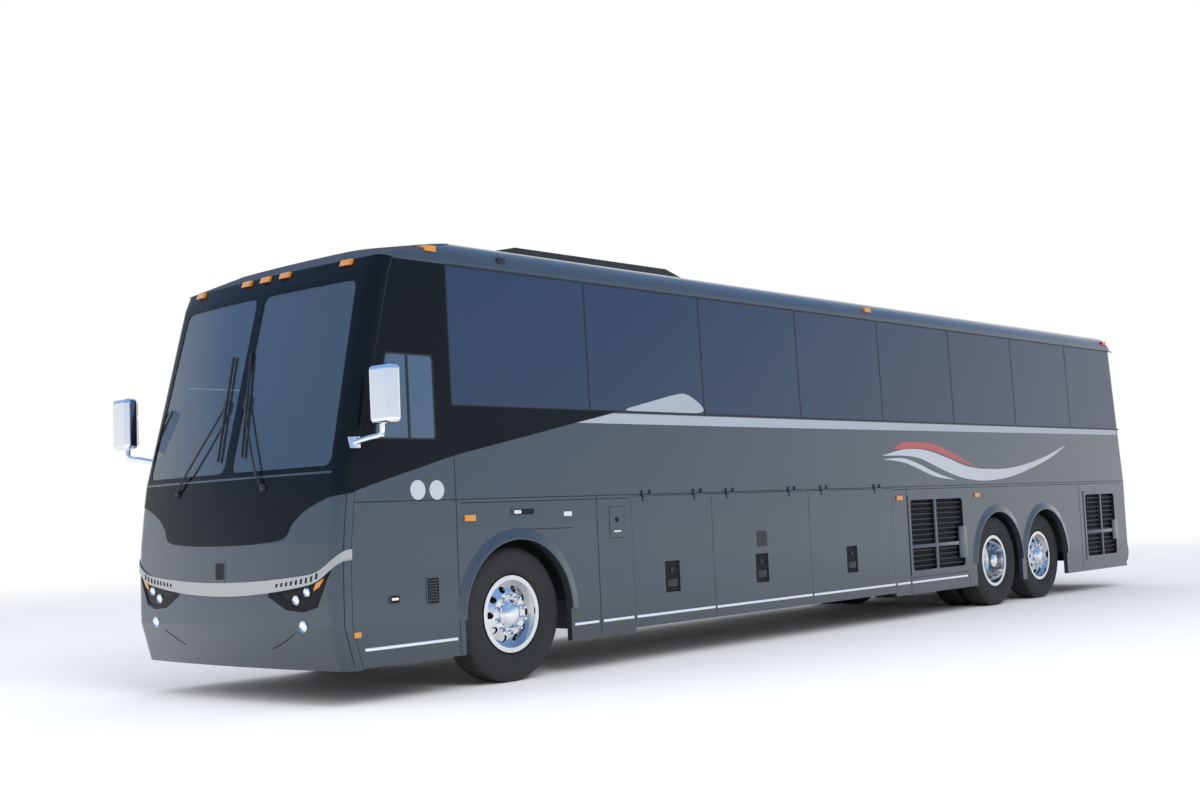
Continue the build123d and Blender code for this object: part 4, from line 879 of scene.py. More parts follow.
@dataclass
class SideGlazing:
    """Black gloss panels round the front end of the window row, cab window, seals and the door's grip."""

    first_bay_x: float = 5.660
    bay_pitch: float = 1.545
    bays: int = 8
    window_z: float = 2.125
    window_top_z: float = 3.200
    seal: float = 0.016
    panel_heights: tuple[float, ...] = (1.500, 1.640, 3.090, 3.200)
    panel_gap: float = 0.002
    panel_lap: float = 0.004
    slope: Outline = ((6.308, 1.581), (5.655, 1.750), (4.660, 1.947), (3.790, 2.121))
    driver_window: Outline = ((5.830, 1.865), (6.420, 1.865), (6.290, 2.500), (5.830, 2.500))
    pane_inset: float = 0.012
    raked_inset: float = 0.0144
    pane_round: float = 0.030
    bar_half: float = 0.011
    bar_back: float = 0.040
    # entry door: X of its rear, front and head, heights of its knee and head
    door_x: Point = (5.710, 6.540, 6.310)
    door_z: Flat = (1.560, 2.450)
    door_gap: float = 0.006
    # columns: inset from the door's edge, height of the foot
    door_gloss: Flat = (0.004, 0.560)
    door_window: Flat = (0.088, 0.620)
    grip_z: float = 1.180
    grip_plate: Point = (0.026, 0.110, 0.020)
    grip_half: float = 0.012
    grip_reach: float = 0.075
    # distance off the skin of the feet's faces, and of the rail's back and face
    grip_y: Point = (0.022, 0.016, 0.028)
    grip_bevels: Flat = (0.004, 0.005)
    # distance off the skin and thickness of each layer
    gloss: Flat = (0.0004, 0.0022)
    pane: Flat = (0.0004, 0.0016)
    pane_rim: Flat = (0.0004, 0.004)
    pane_bar: Flat = (0.0022, 0.003)
    upright_seal: Flat = (0.0002, 0.0012)
    long_seal: Flat = (0.0003, 0.0014)
    grip_back: Flat = (0.002, 0.004)

    def _top_edge(self) -> list[Flat]:
        """Edge of a panel from its front foot, behind the front cap's seam, round to the tip of its slope.

        Returns:
            Corners of the edge.
        """
        seam = [(SHELL.seam_x(z) - self.panel_gap, z) for z in self.panel_heights]
        x = self.first_bay_x + self.panel_lap
        return [*seam, (x, self.window_top_z), (x, self.window_z), (self.slope[-1][0], self.window_z)]

    def _door_ring(self, inset: float, foot: float) -> list[Flat]:
        """Outline inside the entry door's edge.

        Args:
            inset: Distance from the edge.
            foot: Height of its foot.

        Returns:
            Its corners.
        """
        rear, front, head_x = self.door_x
        knee, head = self.door_z
        return [(rear + inset, foot), (front - inset, foot), (front - inset, knee),
                (head_x - inset, head - inset), (rear + inset, head - inset)]

    def _panels(self) -> None:
        """Left panel with the driver's window, right panel round the entry door, and the door's own."""
        edge = self._top_edge()
        left = Mould().wrap([*edge, *self.slope[::-1]], SHELL.side, *self.gloss, holes=[self.driver_window])
        left.piece("black_panel_left", BLACK_GLOSS)
        rear, front, head_x = self.door_x
        knee, head = self.door_z
        gap = self.door_gap
        outline = [
            (front + gap, self.panel_heights[0]), *edge, *self.slope[:0:-1],
            (rear - gap, level_at(self.slope[::-1], rear)), (rear - gap, head + gap),
            (head_x + gap, head + gap), (front + gap, knee),
        ]
        right = Mould().wrap(outline, SHELL.side, *self.gloss).repeat(MIRROR)
        right.piece("black_panel_right", BLACK_GLOSS)
        window = self._door_ring(*self.door_window)
        door = Mould().wrap(self._door_ring(*self.door_gloss), SHELL.side, *self.gloss, holes=[window])
        door.repeat(MIRROR).piece("entry_door_gloss", BLACK_GLOSS, "entry_door")

    def _grip(self) -> None:
        """Grip of the entry door, on two feet over its plate."""
        x = self.door_x[0] + self.door_window[0] / 2
        y, z = SHELL.half_width, self.grip_z
        wide, tall, radius = self.grip_plate
        half, reach = self.grip_half, self.grip_reach
        foot, back, face = (y + off for off in self.grip_y)
        foot_bevel, rail_bevel = self.grip_bevels
        grip = Mould().wrap(Patch.about(x, z, wide, tall).outline(radius), SHELL.side, *self.grip_back)
        for end in (z - reach, z + reach):
            grip.block((x - half, y, end - half), (x + half, foot, end + half), foot_bevel)
        reach += half
        grip.block((x - half, back, z - reach), (x + half, face, z + reach), rail_bevel, 3)
        grip.repeat(MIRROR).piece("entry_door_grip", CHROME, "entry_door")

    def _cab_pane(self) -> None:
        """Bright pane of the cab window with its rim and its sliding half's bar."""
        (rear, foot), (front, _), (head_x, head), _ = self.driver_window
        inset = self.pane_inset
        outline = rounded([(rear + inset, foot + inset), (front - self.raked_inset, foot + inset),
                           (head_x - inset, head - inset), (rear + inset, head - inset)], self.pane_round)
        Mould().wrap(outline, SHELL.side, *self.pane).piece("cab_window_pane", CAB_GLASS)
        middle = (rear + front) / 2 - self.bar_back
        bar = Patch(middle - self.bar_half, middle + self.bar_half, foot + inset, head - inset)
        bars = Mould().wrap(bar.outline(), SHELL.side, *self.pane_bar)
        rim = rounded(self.driver_window, self.pane_round)
        bars.wrap(rim, SHELL.side, *self.pane_rim, holes=[outline]).piece("cab_window_bars", SEAL)

    def _seals(self) -> None:
        """Upright seals between panes and long ones over and under the row."""
        seals = Mould()
        half = self.seal / 2
        rear_x = self.first_bay_x - self.bays * self.bay_pitch
        for bay in range(self.bays):
            x = self.first_bay_x - bay * self.bay_pitch
            upright = Patch(x - half, x + half, self.window_z, self.window_top_z)
            seals.wrap(upright.outline(), SHELL.side, *self.upright_seal)
        for z in (self.window_z, self.window_top_z):
            level = Patch(rear_x, self.first_bay_x, z - half, z + half)
            seals.wrap(level.outline(), SHELL.side, *self.long_seal)
        seals.both_sides().piece("window_seals", SEAL)

    def build(self) -> None:
        """Make the panels, the cab window and the seals."""
        self._panels()
        self._grip()
        self._cab_pane()
        self._seals()


@dataclass
class SideGraphics:
    """Films on the sides: the long stripe, the pale fin, the ribbons and two blank discs."""

    film: Flat = (0.0006, 0.0008)
    over: float = 0.001
    stripe: Outline = (
        (4.290, 2.020), (3.830, 2.108), (-6.600, 2.112), (-6.615, 2.048), (1.550, 2.022),
    )
    fin: Outline = (
        (3.740, 2.134), (2.930, 2.306), (2.800, 2.306), (2.585, 2.200), (2.580, 2.134),
    )
    fin_round: float = 0.16
    # columns of the ribbons: X, height, half width
    wide_ribbon: tuple[Point, ...] = (
        (-0.440, 1.755, 0.001), (-0.870, 1.788, 0.032), (-1.220, 1.777, 0.050), (-1.510, 1.725, 0.070),
        (-1.880, 1.640, 0.080), (-2.260, 1.565, 0.073), (-2.740, 1.534, 0.068), (-3.370, 1.561, 0.052),
        (-4.060, 1.667, 0.031), (-4.550, 1.777, 0.022), (-4.950, 1.895, 0.001),
    )
    thin_ribbon: tuple[Point, ...] = (
        (-0.470, 1.716, 0.001), (-0.865, 1.706, 0.022), (-1.190, 1.638, 0.027), (-1.530, 1.549, 0.023),
        (-1.980, 1.482, 0.001),
    )
    red_ribbon: tuple[Point, ...] = (
        (-0.688, 1.827, 0.001), (-0.880, 1.864, 0.034), (-1.237, 1.870, 0.034), (-1.580, 1.842, 0.038),
        (-1.900, 1.772, 0.033), (-2.200, 1.700, 0.020), (-2.540, 1.623, 0.001),
    )
    thinnest: float = 0.001
    discs: Outline = ((6.030, 1.497), (5.846, 1.494))
    disc_radius: float = 0.072
    disc_sides: int = 36

    def _ribbon(self, nodes: Sequence[Point], raised: float = 0.0) -> Mould:
        """Strip of changing width along a smooth line.

        Args:
            nodes: Rows of X, height and half width.
            raised: How much higher than the other films it lies.

        Returns:
            The strip on both sides.
        """
        rows = smooth_path(nodes)
        upper, lower = [], []
        for (x, z, half), before, after in zip(rows, [rows[0], *rows], [*rows[1:], rows[-1]]):
            ahead = (Vector(after[:2]) - Vector(before[:2])).normalized()
            across = Vector((-ahead.y, ahead.x)) * max(half, self.thinnest)
            upper.append((x + across.x, z + across.y))
            lower.append((x - across.x, z - across.y))
        lift, thick = self.film
        return Mould().band(upper, lower, SHELL.side, lift + raised, thick).both_sides()

    def build(self) -> None:
        """Lay every film."""
        for name, outline in (("waist_stripe", self.stripe), ("pale_fin", rounded(self.fin, self.fin_round))):
            Mould().wrap(outline, SHELL.side, *self.film).both_sides().piece(name, SILVER_FILM)
        self._ribbon(self.red_ribbon).piece("red_ribbon", RED_FILM)
        self._ribbon(self.wide_ribbon, self.over).piece("wide_ribbon", WHITE_FILM)
        self._ribbon(self.thin_ribbon).piece("thin_ribbon", WHITE_FILM)
        turns = [math.tau * step / self.disc_sides for step in range(self.disc_sides)]
        discs = Mould()
        for x, z in self.discs:
            circle = [(x + self.disc_radius * math.cos(turn), z + self.disc_radius * math.sin(turn))
                      for turn in turns]
            discs.wrap(circle, SHELL.side, *self.film)
        discs.piece("blank_discs", WHITE_FILM)


@dataclass
class Nose:
    """Black mask round the windscreen, slots of the bright band, headlamp details, joints and wipers."""

    pane_foot: Flat = (1.205, 1.652)
    pane_head: Flat = (1.130, 3.078)
    pane_round: float = 0.070
    post: float = 0.015
    border: float = 0.034
    # half outline of the mask's lower edge, from the middle outwards: Y, height
    mask_foot: Outline = (
        (0.0, 1.145), (0.350, 1.150), (0.680, 1.172), (0.775, 1.208), (0.825, 1.285), (0.930, 1.365),
        (1.060, 1.422), (1.180, 1.463),
    )
    mask_side: tuple[float, ...] = (1.490, 1.640, 2.100, 2.600, 3.090, 3.212)
    mask_film: Flat = (0.0005, 0.0025)
    # places at which panels are divided to follow the corner: the first, their pitch and their number
    corner_columns: tuple[float, float, int] = (1.15, 0.016, 13)
    band_knee_y: float = 1.0
    band_end_y: float = 1.310
    band_heights: Point = (0.826, 0.890, 1.070)
    slots: int = 9
    slot_from: float = 0.660
    slot_to: float = 1.130
    # half lengths of a slot's long and short diagonal, least half height and its growth outwards
    slot_shape: tuple[float, ...] = (0.014, 0.006, 0.013, 0.009)
    slot_film: Flat = (0.0083, 0.003)
    sensor: Patch = Patch(-0.052, 0.052, 0.900, 1.020)
    sensor_round: float = 0.012
    sensor_film: Flat = (0.0005, 0.004)
    frame_round: float = 0.018
    frame_grow: Flat = (0.002, 0.014)
    frame_film: Flat = (0.0005, 0.003)
    lamp: RoundLamp = RoundLamp(
        (1, 0, 0), ((1, 0.0), (1, 0.012), (0.92, 0.016), (0.74, 0.006), (0.74, 0.0)),
        lens=0.72, foot=0.004, rise=0.3, turns=(0.0, 0.3, 0.6, 0.9, 1.2), sides=(32, 28),
    )
    # projectors and fog lamp: Y, height, radius
    lamps: tuple[Point, ...] = ((0.882, 0.752, 0.036), (0.996, 0.808, 0.034), (0.950, 0.570, 0.042))
    lamp_sunk: float = 0.008
    lens: Outline = (
        (0.690, 0.796), (0.850, 0.705), (0.960, 0.690), (1.085, 0.722), (1.205, 0.925), (1.000, 0.832),
    )
    # outer edge of the dark panel round the lens, from its inner tip under the band outwards and back
    lamp_panel: Outline = (
        (0.575, 0.778), (0.775, 0.683), (0.955, 0.668), (1.098, 0.702), (1.150, 0.800), (1.232, 0.950),
    )
    under_band: tuple[float, ...] = (1.225, 1.150, 1.060, 0.960, 0.860, 0.760, 0.660, 0.600)
    under_drop: float = 0.030
    panel_film: Flat = (0.0003, 0.0014)
    panel_columns: tuple[float, ...] = (0.7, 0.8, 0.9, 1.0, 1.1, 1.15, 1.18, 1.21)
    amber: Outline = ((1.058, 0.815), (1.120, 0.842), (1.170, 0.905), (1.085, 0.868))
    amber_round: float = 0.012
    amber_film: Flat = (-0.004, 0.006)
    amber_columns: tuple[float, ...] = (1.08, 1.10, 1.12, 1.14, 1.16)
    cowl: Patch = Patch(-1.195, 1.195, 1.632, 1.647)
    cowl_film: Flat = (0.003, 0.004)
    bumper_seam: Outline = ((0.560, 0.402), (0.700, 0.452), (0.835, 0.512))
    bumper_half: float = 0.004
    corner_seam: tuple[float, ...] = (0.290, 0.560, 0.900, 1.150, 1.416, 1.480)
    corner_in: float = 0.062
    corner_half: float = 0.003
    seam_film: Flat = (0.0002, 0.001)
    # wipers, columns: pivot Y and height, blade's foot Y and height, blade's head Y and height
    wiper_rows: tuple[tuple[float, ...], ...] = (
        (0.480, 1.556, 0.172, 1.800, 0.030, 2.600), (-0.660, 1.556, -0.135, 1.780, -0.205, 2.600),
    )
    boss: Outline = ((0, -0.004), (0.030, -0.004), (0.028, 0.014), (0.017, 0.026), (0, 0.026))
    boss_axis: Point = (1, 0, 0.2)
    boss_lift: float = 0.003
    hold: float = 0.52
    arm_lifts: Point = (0.020, 0.034, 0.024)
    # bends of the arm: height from its nearer end, shares of the way from pivot to blade
    arm_bend: float = 0.16
    arm_shares: Flat = (0.28, 0.80)
    arm_radius: float = 0.0085
    # blade and its rubber: distance off the skin, radius
    blades: Outline = ((0.018, 0.008), (0.008, 0.0045))
    blade_steps: int = 10
    clip: Point = (0.016, 0.050, 0.010)
    clip_film: Flat = (0.012, 0.020)

    def _columns(self) -> list[float]:
        """Places across the nose at which panels are divided to follow its bow and corners.

        Returns:
            Distances along the skin from the middle.
        """
        first, pitch, count = self.corner_columns
        corner = [first + step * pitch for step in range(count)]
        return [*[-u for u in corner], *bow_columns(11), *corner]

    def band_z(self, y: float) -> float:
        """Height of the bright band's middle line.

        Args:
            y: Distance from the centre line.

        Returns:
            The height there.
        """
        middle, knee, end = self.band_heights
        bow = (self.band_knee_y**2 + (knee - middle) ** 2) / (2 * (knee - middle))
        if abs(y) <= self.band_knee_y:
            return middle + bow - math.sqrt(bow**2 - y**2)
        run = self.band_end_y - self.band_knee_y
        share = (abs(y) - self.band_knee_y) / run
        rise = run * self.band_knee_y / math.sqrt(bow**2 - self.band_knee_y**2)
        return knee + rise * share + (end - knee - rise) * share**2

    def _mask(self) -> None:
        """Gloss black panel with its two openings for the panes."""
        left = [*smooth_path(self.mask_foot, 5), *[(SHELL.front_reach(z), z) for z in self.mask_side]]
        right = flipped(reversed(left[1:]))
        edge, inner = self.border, self.post + self.border
        (foot_y, foot), (head_y, head) = self.pane_foot, self.pane_head
        pane = rounded([(inner, foot + edge), (foot_y - edge, foot + edge),
                        (head_y - edge, head - edge), (inner, head - edge)], self.pane_round)
        rows = [z for z, _ in SHELL.front_profile]
        mask = Mould().wrap([*left, *right], SHELL.front, *self.mask_film, [pane, flipped(pane)],
                            self._columns(), rows)
        mask.piece("nose_mask", BLACK_GLOSS)

    def _band(self) -> None:
        """Slots along the outer stretches of the bright band, as dark films of painted shade, and the sensor
        window over it.
        """
        slots = Mould()
        long, short, least, growth = self.slot_shape
        pitch = (self.slot_to - self.slot_from) / self.slots
        for index in range(self.slots):
            y = self.slot_from + pitch * (index + 0.5)
            half = least + growth * index / self.slots
            foot, head = self.band_z(y) - half, self.band_z(y) + half
            corners = [(y - long, foot), (y + short, foot), (y + long, head), (y - short, head)]
            slots.wrap(corners, SHELL.nose, *self.slot_film)
        slots.both_sides().piece("band_slot_shade", JOINT_AND_SHADE_BLACK)
        sensor = Mould().wrap(self.sensor.outline(self.sensor_round), SHELL.nose, *self.sensor_film)
        sensor.piece("sensor_window", SMOKED_LENS)
        inner, outer = self.frame_grow
        opening = self.sensor.outline(self.sensor_round, inner)
        rim = self.sensor.outline(self.frame_round, outer)
        Mould().wrap(rim, SHELL.nose, *self.frame_film, [opening]).piece("sensor_frame", PAINT)

    def _lamps(self) -> None:
        """Projectors and fog lamps with bright rings, and amber corners."""
        rings, lenses = Mould(), Mould()
        for y, z, radius in self.lamps:
            self.lamp.add(rings, lenses, SHELL.nose(y, z, -self.lamp_sunk), radius)
        rings.both_sides().piece("lamp_rings", CHROME)
        lenses.both_sides().piece("lamp_lenses", CLEAR)
        outline = rounded(self.amber, self.amber_round)
        amber = Mould().wrap(outline, SHELL.nose, *self.amber_film, columns=self.amber_columns)
        amber.both_sides().piece("corner_ambers", AMBER)

    def _joints(self) -> None:
        """Pale strip under the windscreen, dark surrounds of the lamps and the bumper's joints."""
        strip = Mould().wrap(self.cowl.outline(), SHELL.front, *self.cowl_film, columns=self._columns())
        strip.piece("cowl_strip", PAINT)
        outline = [*self.lamp_panel, *[(y, self.band_z(y) - self.under_drop) for y in self.under_band]]
        surround = Mould().wrap(outline, SHELL.front, *self.panel_film, [self.lens], self.panel_columns)
        surround.both_sides().piece("lamp_surrounds", BLACK_GLOSS)
        path, half = smooth_path(self.bumper_seam, 6), self.bumper_half
        seams = Mould().band([(y, z + half) for y, z in path], [(y, z - half) for y, z in path],
                             SHELL.nose, *self.seam_film)
        edge = [(SHELL.front_reach(z) - self.corner_in, z) for z in self.corner_seam]
        half = self.corner_half
        seams.band([(u + half, z) for u, z in edge], [(u - half, z) for u, z in edge],
                   SHELL.front, *self.seam_film)
        seams.both_sides().piece("nose_seams", JOINT_AND_SHADE_BLACK)

    def _wipers(self) -> None:
        """Wiper arms with their blades and pivots, in place of the plain bars."""
        arms = Mould()
        start, middle, end = self.arm_lifts
        wide, tall, radius = self.clip
        for pivot_y, pivot_z, foot_y, foot_z, head_y, head_z in self.wiper_rows:
            arms.lathe(self.boss, SHELL.nose(pivot_y, pivot_z, self.boss_lift), self.boss_axis, 24)
            foot, head = Vector((foot_y, foot_z)), Vector((head_y, head_z))
            y, z = foot.lerp(head, self.hold)
            lower_y, upper_y = (pivot_y + (y - pivot_y) * share for share in self.arm_shares)
            line = [(pivot_y, pivot_z, start), (lower_y, pivot_z + self.arm_bend, middle),
                    (upper_y, z - self.arm_bend, middle), (y, z, end)]
            arms.tube([SHELL.nose(*spot) for spot in smooth_path(line, 6)], self.arm_radius, 10)
            spots = [foot.lerp(head, step / self.blade_steps) for step in range(self.blade_steps + 1)]
            for lift, thickness in self.blades:
                arms.tube([SHELL.nose(*spot, lift) for spot in spots], thickness, 8)
            arms.wrap(Patch.about(y, z, wide, tall).outline(radius), SHELL.nose, *self.clip_film)
        arms.piece("wiper_arms", PLASTIC, replaced=("wipers",))

    def build(self) -> None:
        """Dress the nose."""
        self._mask()
        self._band()
        self._lamps()
        self._joints()
        self._wipers()


@dataclass
class PanelSeams:
    """Dark joints between the panels of the sides."""

    wide: float = 0.006
    film: Flat = (0.0002, 0.0009)
    belt_z: float = 1.420
    door: Flat = (5.703, 6.547)
    # how far the belt's joint ends short of the caps' seams
    front_short: float = 0.004
    rear_short: float = 0.026
    # columns: X and height of one end, X and height of the other
    lines: tuple[tuple[float, ...], ...] = (
        (5.660, 0.275, 5.660, 2.120), (4.100, 0.275, 4.100, 1.416), (-0.880, 0.275, -0.880, 1.416),
        (-2.190, 0.275, -2.190, 0.420), (-5.240, 0.340, -5.240, 1.416), (4.940, 1.172, 4.400, 1.166),
        (5.620, 1.392, 3.690, 1.392), (-0.600, 1.392, -6.560, 1.392), (-0.900, 0.440, -2.150, 0.440),
    )

    def build(self) -> None:
        """Lay the joints of both sides, clear of the entry door."""
        front = SHELL.seam_x(self.belt_z) - self.front_short
        rear = -SHELL.half_length + SHELL.rear_seam + self.rear_short
        belts = {"left": ((front, rear),), "right": ((front, self.door[1]), (self.door[0], rear))}
        for side, runs in belts.items():
            seams = Mould()
            belt = [(start, self.belt_z, end, self.belt_z) for start, end in runs]
            for x0, z0, x1, z1 in (*belt, *self.lines):
                across = Vector((z0 - z1, x1 - x0)).normalized() * self.wide / 2
                corners = [(x0 + across.x, z0 + across.y), (x1 + across.x, z1 + across.y),
                           (x1 - across.x, z1 - across.y), (x0 - across.x, z0 - across.y)]
                seams.wrap(corners, SHELL.side, *self.film, rows=(SHELL.belt_z,))
            seams.repeat(PLACES[side]).piece(f"panel_seams_{side}", JOINT_AND_SHADE_BLACK)


@dataclass
class SideTrim:
    """Bright rocker strips, pull handles, flaps, vents and small fittings along the skirt."""

    strip_z: Flat = (0.380, 0.405)
    strip_y: Flat = (0.002, 0.007)
    strip_bevel: float = 0.0045
    # columns: rear X, front X of the strips on the body's own panels; the first is on the left alone
    fixed_strips: Outline = (
        (5.690, 6.560), (4.130, 4.420), (3.690, 4.075), (-0.860, -0.590), (-2.130, -0.900),
    )
    # columns: rear X, front X, handle middle X of the hold doors
    doors: tuple[Point, ...] = ((2.555, 3.665, 3.150), (1.000, 2.555, 1.820), (-0.565, 1.000, 0.260))
    door_short: float = 0.015
    handle_z: float = 0.700
    pocket: Flat = (0.200, 0.270)
    pocket_deep: float = 0.018
    pocket_gap: float = 0.002
    pocket_y: Flat = (-0.001, 0.002)
    lever_half: float = 0.072
    lever_y: Flat = (0.001, 0.015)
    lever_z: Flat = (0.610, 0.680)
    lever_bevel: float = 0.006
    lock_up: float = 0.060
    door_lock: Outline = ((0, 0), (0.022, 0), (0.022, 0.012), (0.012, 0.016), (0, 0.016))
    # plate on the middle hold door, from the handle's middle X, how far it stands out and its round
    door_plate: Patch = Patch(-0.09, 0.06, 0.900, 1.046)
    door_plate_shape: Flat = (0.004, 0.012)
    fuel_flap: Patch = Patch(3.766, 3.947, 1.065, 1.322)
    flap_lock: Outline = ((0, 0.007), (0.016, 0.007), (0.022, 0.004), (0.022, 0), (0, 0))
    flap_lock_at: Point = (3.8565, 1.297, 1.215)
    vent: Patch = Patch(5.863, 5.972, 0.668, 0.853)
    vent_bars: int = 8
    vent_first: float = 0.020
    vent_pitch: float = 0.0205
    # bars of the vent: inset at the ends, how far they stand out, height and bevel
    vent_bar: tuple[float, ...] = (0.012, 0.006, 0.007, 0.002)
    lock: Patch = Patch(6.235, 6.330, 0.695, 0.750)
    grip: Patch = Patch(4.840, 5.080, 1.288, 1.332)
    # dark plates are painted shade in the recesses of the vent, the lock and the grip
    # plates, columns: place, how far they stand out, round of their corners
    recess_shade_plates: Plates = (
        (vent, 0.002, 0.010), (lock, 0.002, 0.020), (grip, 0.001, 0.020),
    )
    bright_plates: Plates = (
        (Patch(3.8115, 3.9015, 1.112, 1.124), 0.005, 0.002),
        (Patch(6.250, 6.315, 0.716, 0.734), 0.010, 0.006),
        (Patch(4.985, 5.065, 1.296, 1.324), 0.008, 0.012),
        (Patch(4.405, 4.500, 1.262, 1.298), 0.003, 0.008),
    )
    painted_plates: Plates = ((fuel_flap, 0.003, 0.012),)
    # rings round plates, columns: place, width, how far they stand out, round of the plate's corners
    dark_rings: Rings = ((fuel_flap, 0.004, 0.001, 0.012),)
    painted_rings: Rings = (
        (vent, 0.010, 0.005, 0.010), (lock, 0.008, 0.005, 0.020), (grip, 0.012, 0.006, 0.020),
    )
    low_lamp: Patch = Patch(6.595, 6.655, 0.482, 0.520)
    low_lamp_shape: Flat = (0.010, 0.006)
    roof_eye: Point = (5.053, 1.262, 3.290)
    eye_half: Point = (0.042, 0.080, 0.024)
    eye_bevel: float = 0.012
    eye_lens: Outline = ((0, 0.006), (0.012, 0.004), (0.015, -0.004), (0, -0.004))
    sunk: float = 0.001

    def _strip(self, mould: Mould, rear: float, front: float) -> Mould:
        """Bright strip with a rounded face.

        Args:
            mould: Mould that takes it.
            rear: X of its rear end.
            front: X of its front end.

        Returns:
            The mould.
        """
        y, (low, high), (back, proud) = SHELL.half_width, self.strip_z, self.strip_y
        return mould.block((rear, y - back, low), (front, y + proud, high), self.strip_bevel, 3)

    def _plate(self, mould: Mould, place: Patch, proud: float, radius: float) -> None:
        """Raised plate with round corners, its back a little under the skin."""
        mould.wrap(place.outline(radius), SHELL.side, -self.sunk, proud + self.sunk)

    @staticmethod
    def _ring(mould: Mould, place: Patch, wide: float, proud: float, radius: float) -> None:
        """Ring round a plate."""
        outer = place.outline(radius + wide, wide)
        mould.wrap(outer, SHELL.side, 0.0, proud, holes=[place.outline(radius)])

    def _fittings(self) -> None:
        """Fuel flap, vent, lock and grip of the left side, with dark plates of painted shade in the recesses
        of the last three.
        """
        dark, bright, painted = Mould(), Mould(), Mould()
        plates = ((dark, self.recess_shade_plates), (bright, self.bright_plates), (painted, self.painted_plates))
        for mould, rows in plates:
            for row in rows:
                self._plate(mould, *row)
        for mould, rows in ((dark, self.dark_rings), (painted, self.painted_rings)):
            for row in rows:
                self._ring(mould, *row)
        dark.lathe(self.flap_lock, self.flap_lock_at, (0, 1, 0), 28)
        inset, proud, tall, bevel = self.vent_bar
        y = SHELL.half_width
        for step in range(self.vent_bars):
            z = self.vent.foot + self.vent_first + step * self.vent_pitch
            low = (self.vent.start + inset, y, z)
            painted.block(low, (self.vent.end - inset, y + proud, z + tall), bevel)
        dark.piece("fitting_shade_and_joints", JOINT_AND_SHADE_BLACK)
        bright.piece("fitting_levers", CHROME)
        painted.piece("fitting_frames", PAINT)

    def _strips(self) -> None:
        """Strips on the body's own panels."""
        strips = Mould()
        for rear, front in self.fixed_strips[1:]:
            self._strip(strips, rear, front)
        self._strip(strips.both_sides(), *self.fixed_strips[0]).piece("rocker_strips", CHROME)

    def _eyes(self) -> None:
        """Roof cameras and low lamps of both sides."""
        (x, y, z), (long, deep, tall) = self.roof_eye, self.eye_half
        eye = Mould().block((x - long, y - deep, z - tall), (x + long, y, z + tall), self.eye_bevel, 3)
        eye.lathe(self.eye_lens, self.roof_eye, (0, 1, 0), 20).both_sides().piece("roof_cameras", PLASTIC)
        lamp = Mould()
        self._plate(lamp, self.low_lamp, *self.low_lamp_shape)
        lamp.both_sides().piece("low_side_lamps", AMBER)

    def _door(self, side: str, number: int, row: Point) -> None:
        """Strip and handle of one hold door.

        Args:
            side: Name of the side.
            number: Number of the door from the front.
            row: Rear X, front X and handle's middle X.
        """
        body, label, place = f"bay_door_{side}_{number}", f"{side}_{number}", PLACES[side]
        rear, front, x = row
        strip = self._strip(Mould(), rear + self.door_short, front - self.door_short)
        strip.repeat(place).piece(f"door_strip_{label}", CHROME, body)
        y, z = SHELL.half_width - self.pocket_deep, self.handle_z
        wide, tall = (size / 2 - self.pocket_gap for size in self.pocket)
        back, face = (y + off for off in self.pocket_y)
        # near-black plate at the bottom of the handle's pocket: painted shade of the recess
        cup = Mould().block((x - wide, back, z - tall), (x + wide, face, z + tall))
        cup.repeat(place).piece(f"door_pocket_shade_{label}", JOINT_AND_SHADE_BLACK, body)
        half, (low, high) = self.lever_half, self.lever_z
        back, face = (y + off for off in self.lever_y)
        lever = Mould().block((x - half, back, low), (x + half, face, high), self.lever_bevel, 3)
        lever.lathe(self.door_lock, (x, y, z + self.lock_up), (0, 1, 0), 24)
        if number == 2:
            plate = replace(self.door_plate, start=x + self.door_plate.start, end=x + self.door_plate.end)
            self._plate(lever, plate, *self.door_plate_shape)
        lever.repeat(place).piece(f"door_lever_{label}", PLASTIC, body)

    def build(self) -> None:
        """Fit the trim on both sides."""
        self._strips()
        self._fittings()
        self._eyes()
        for side in SIDES:
            for number, row in enumerate(self.doors, start=1):
                self._door(side, number, row)


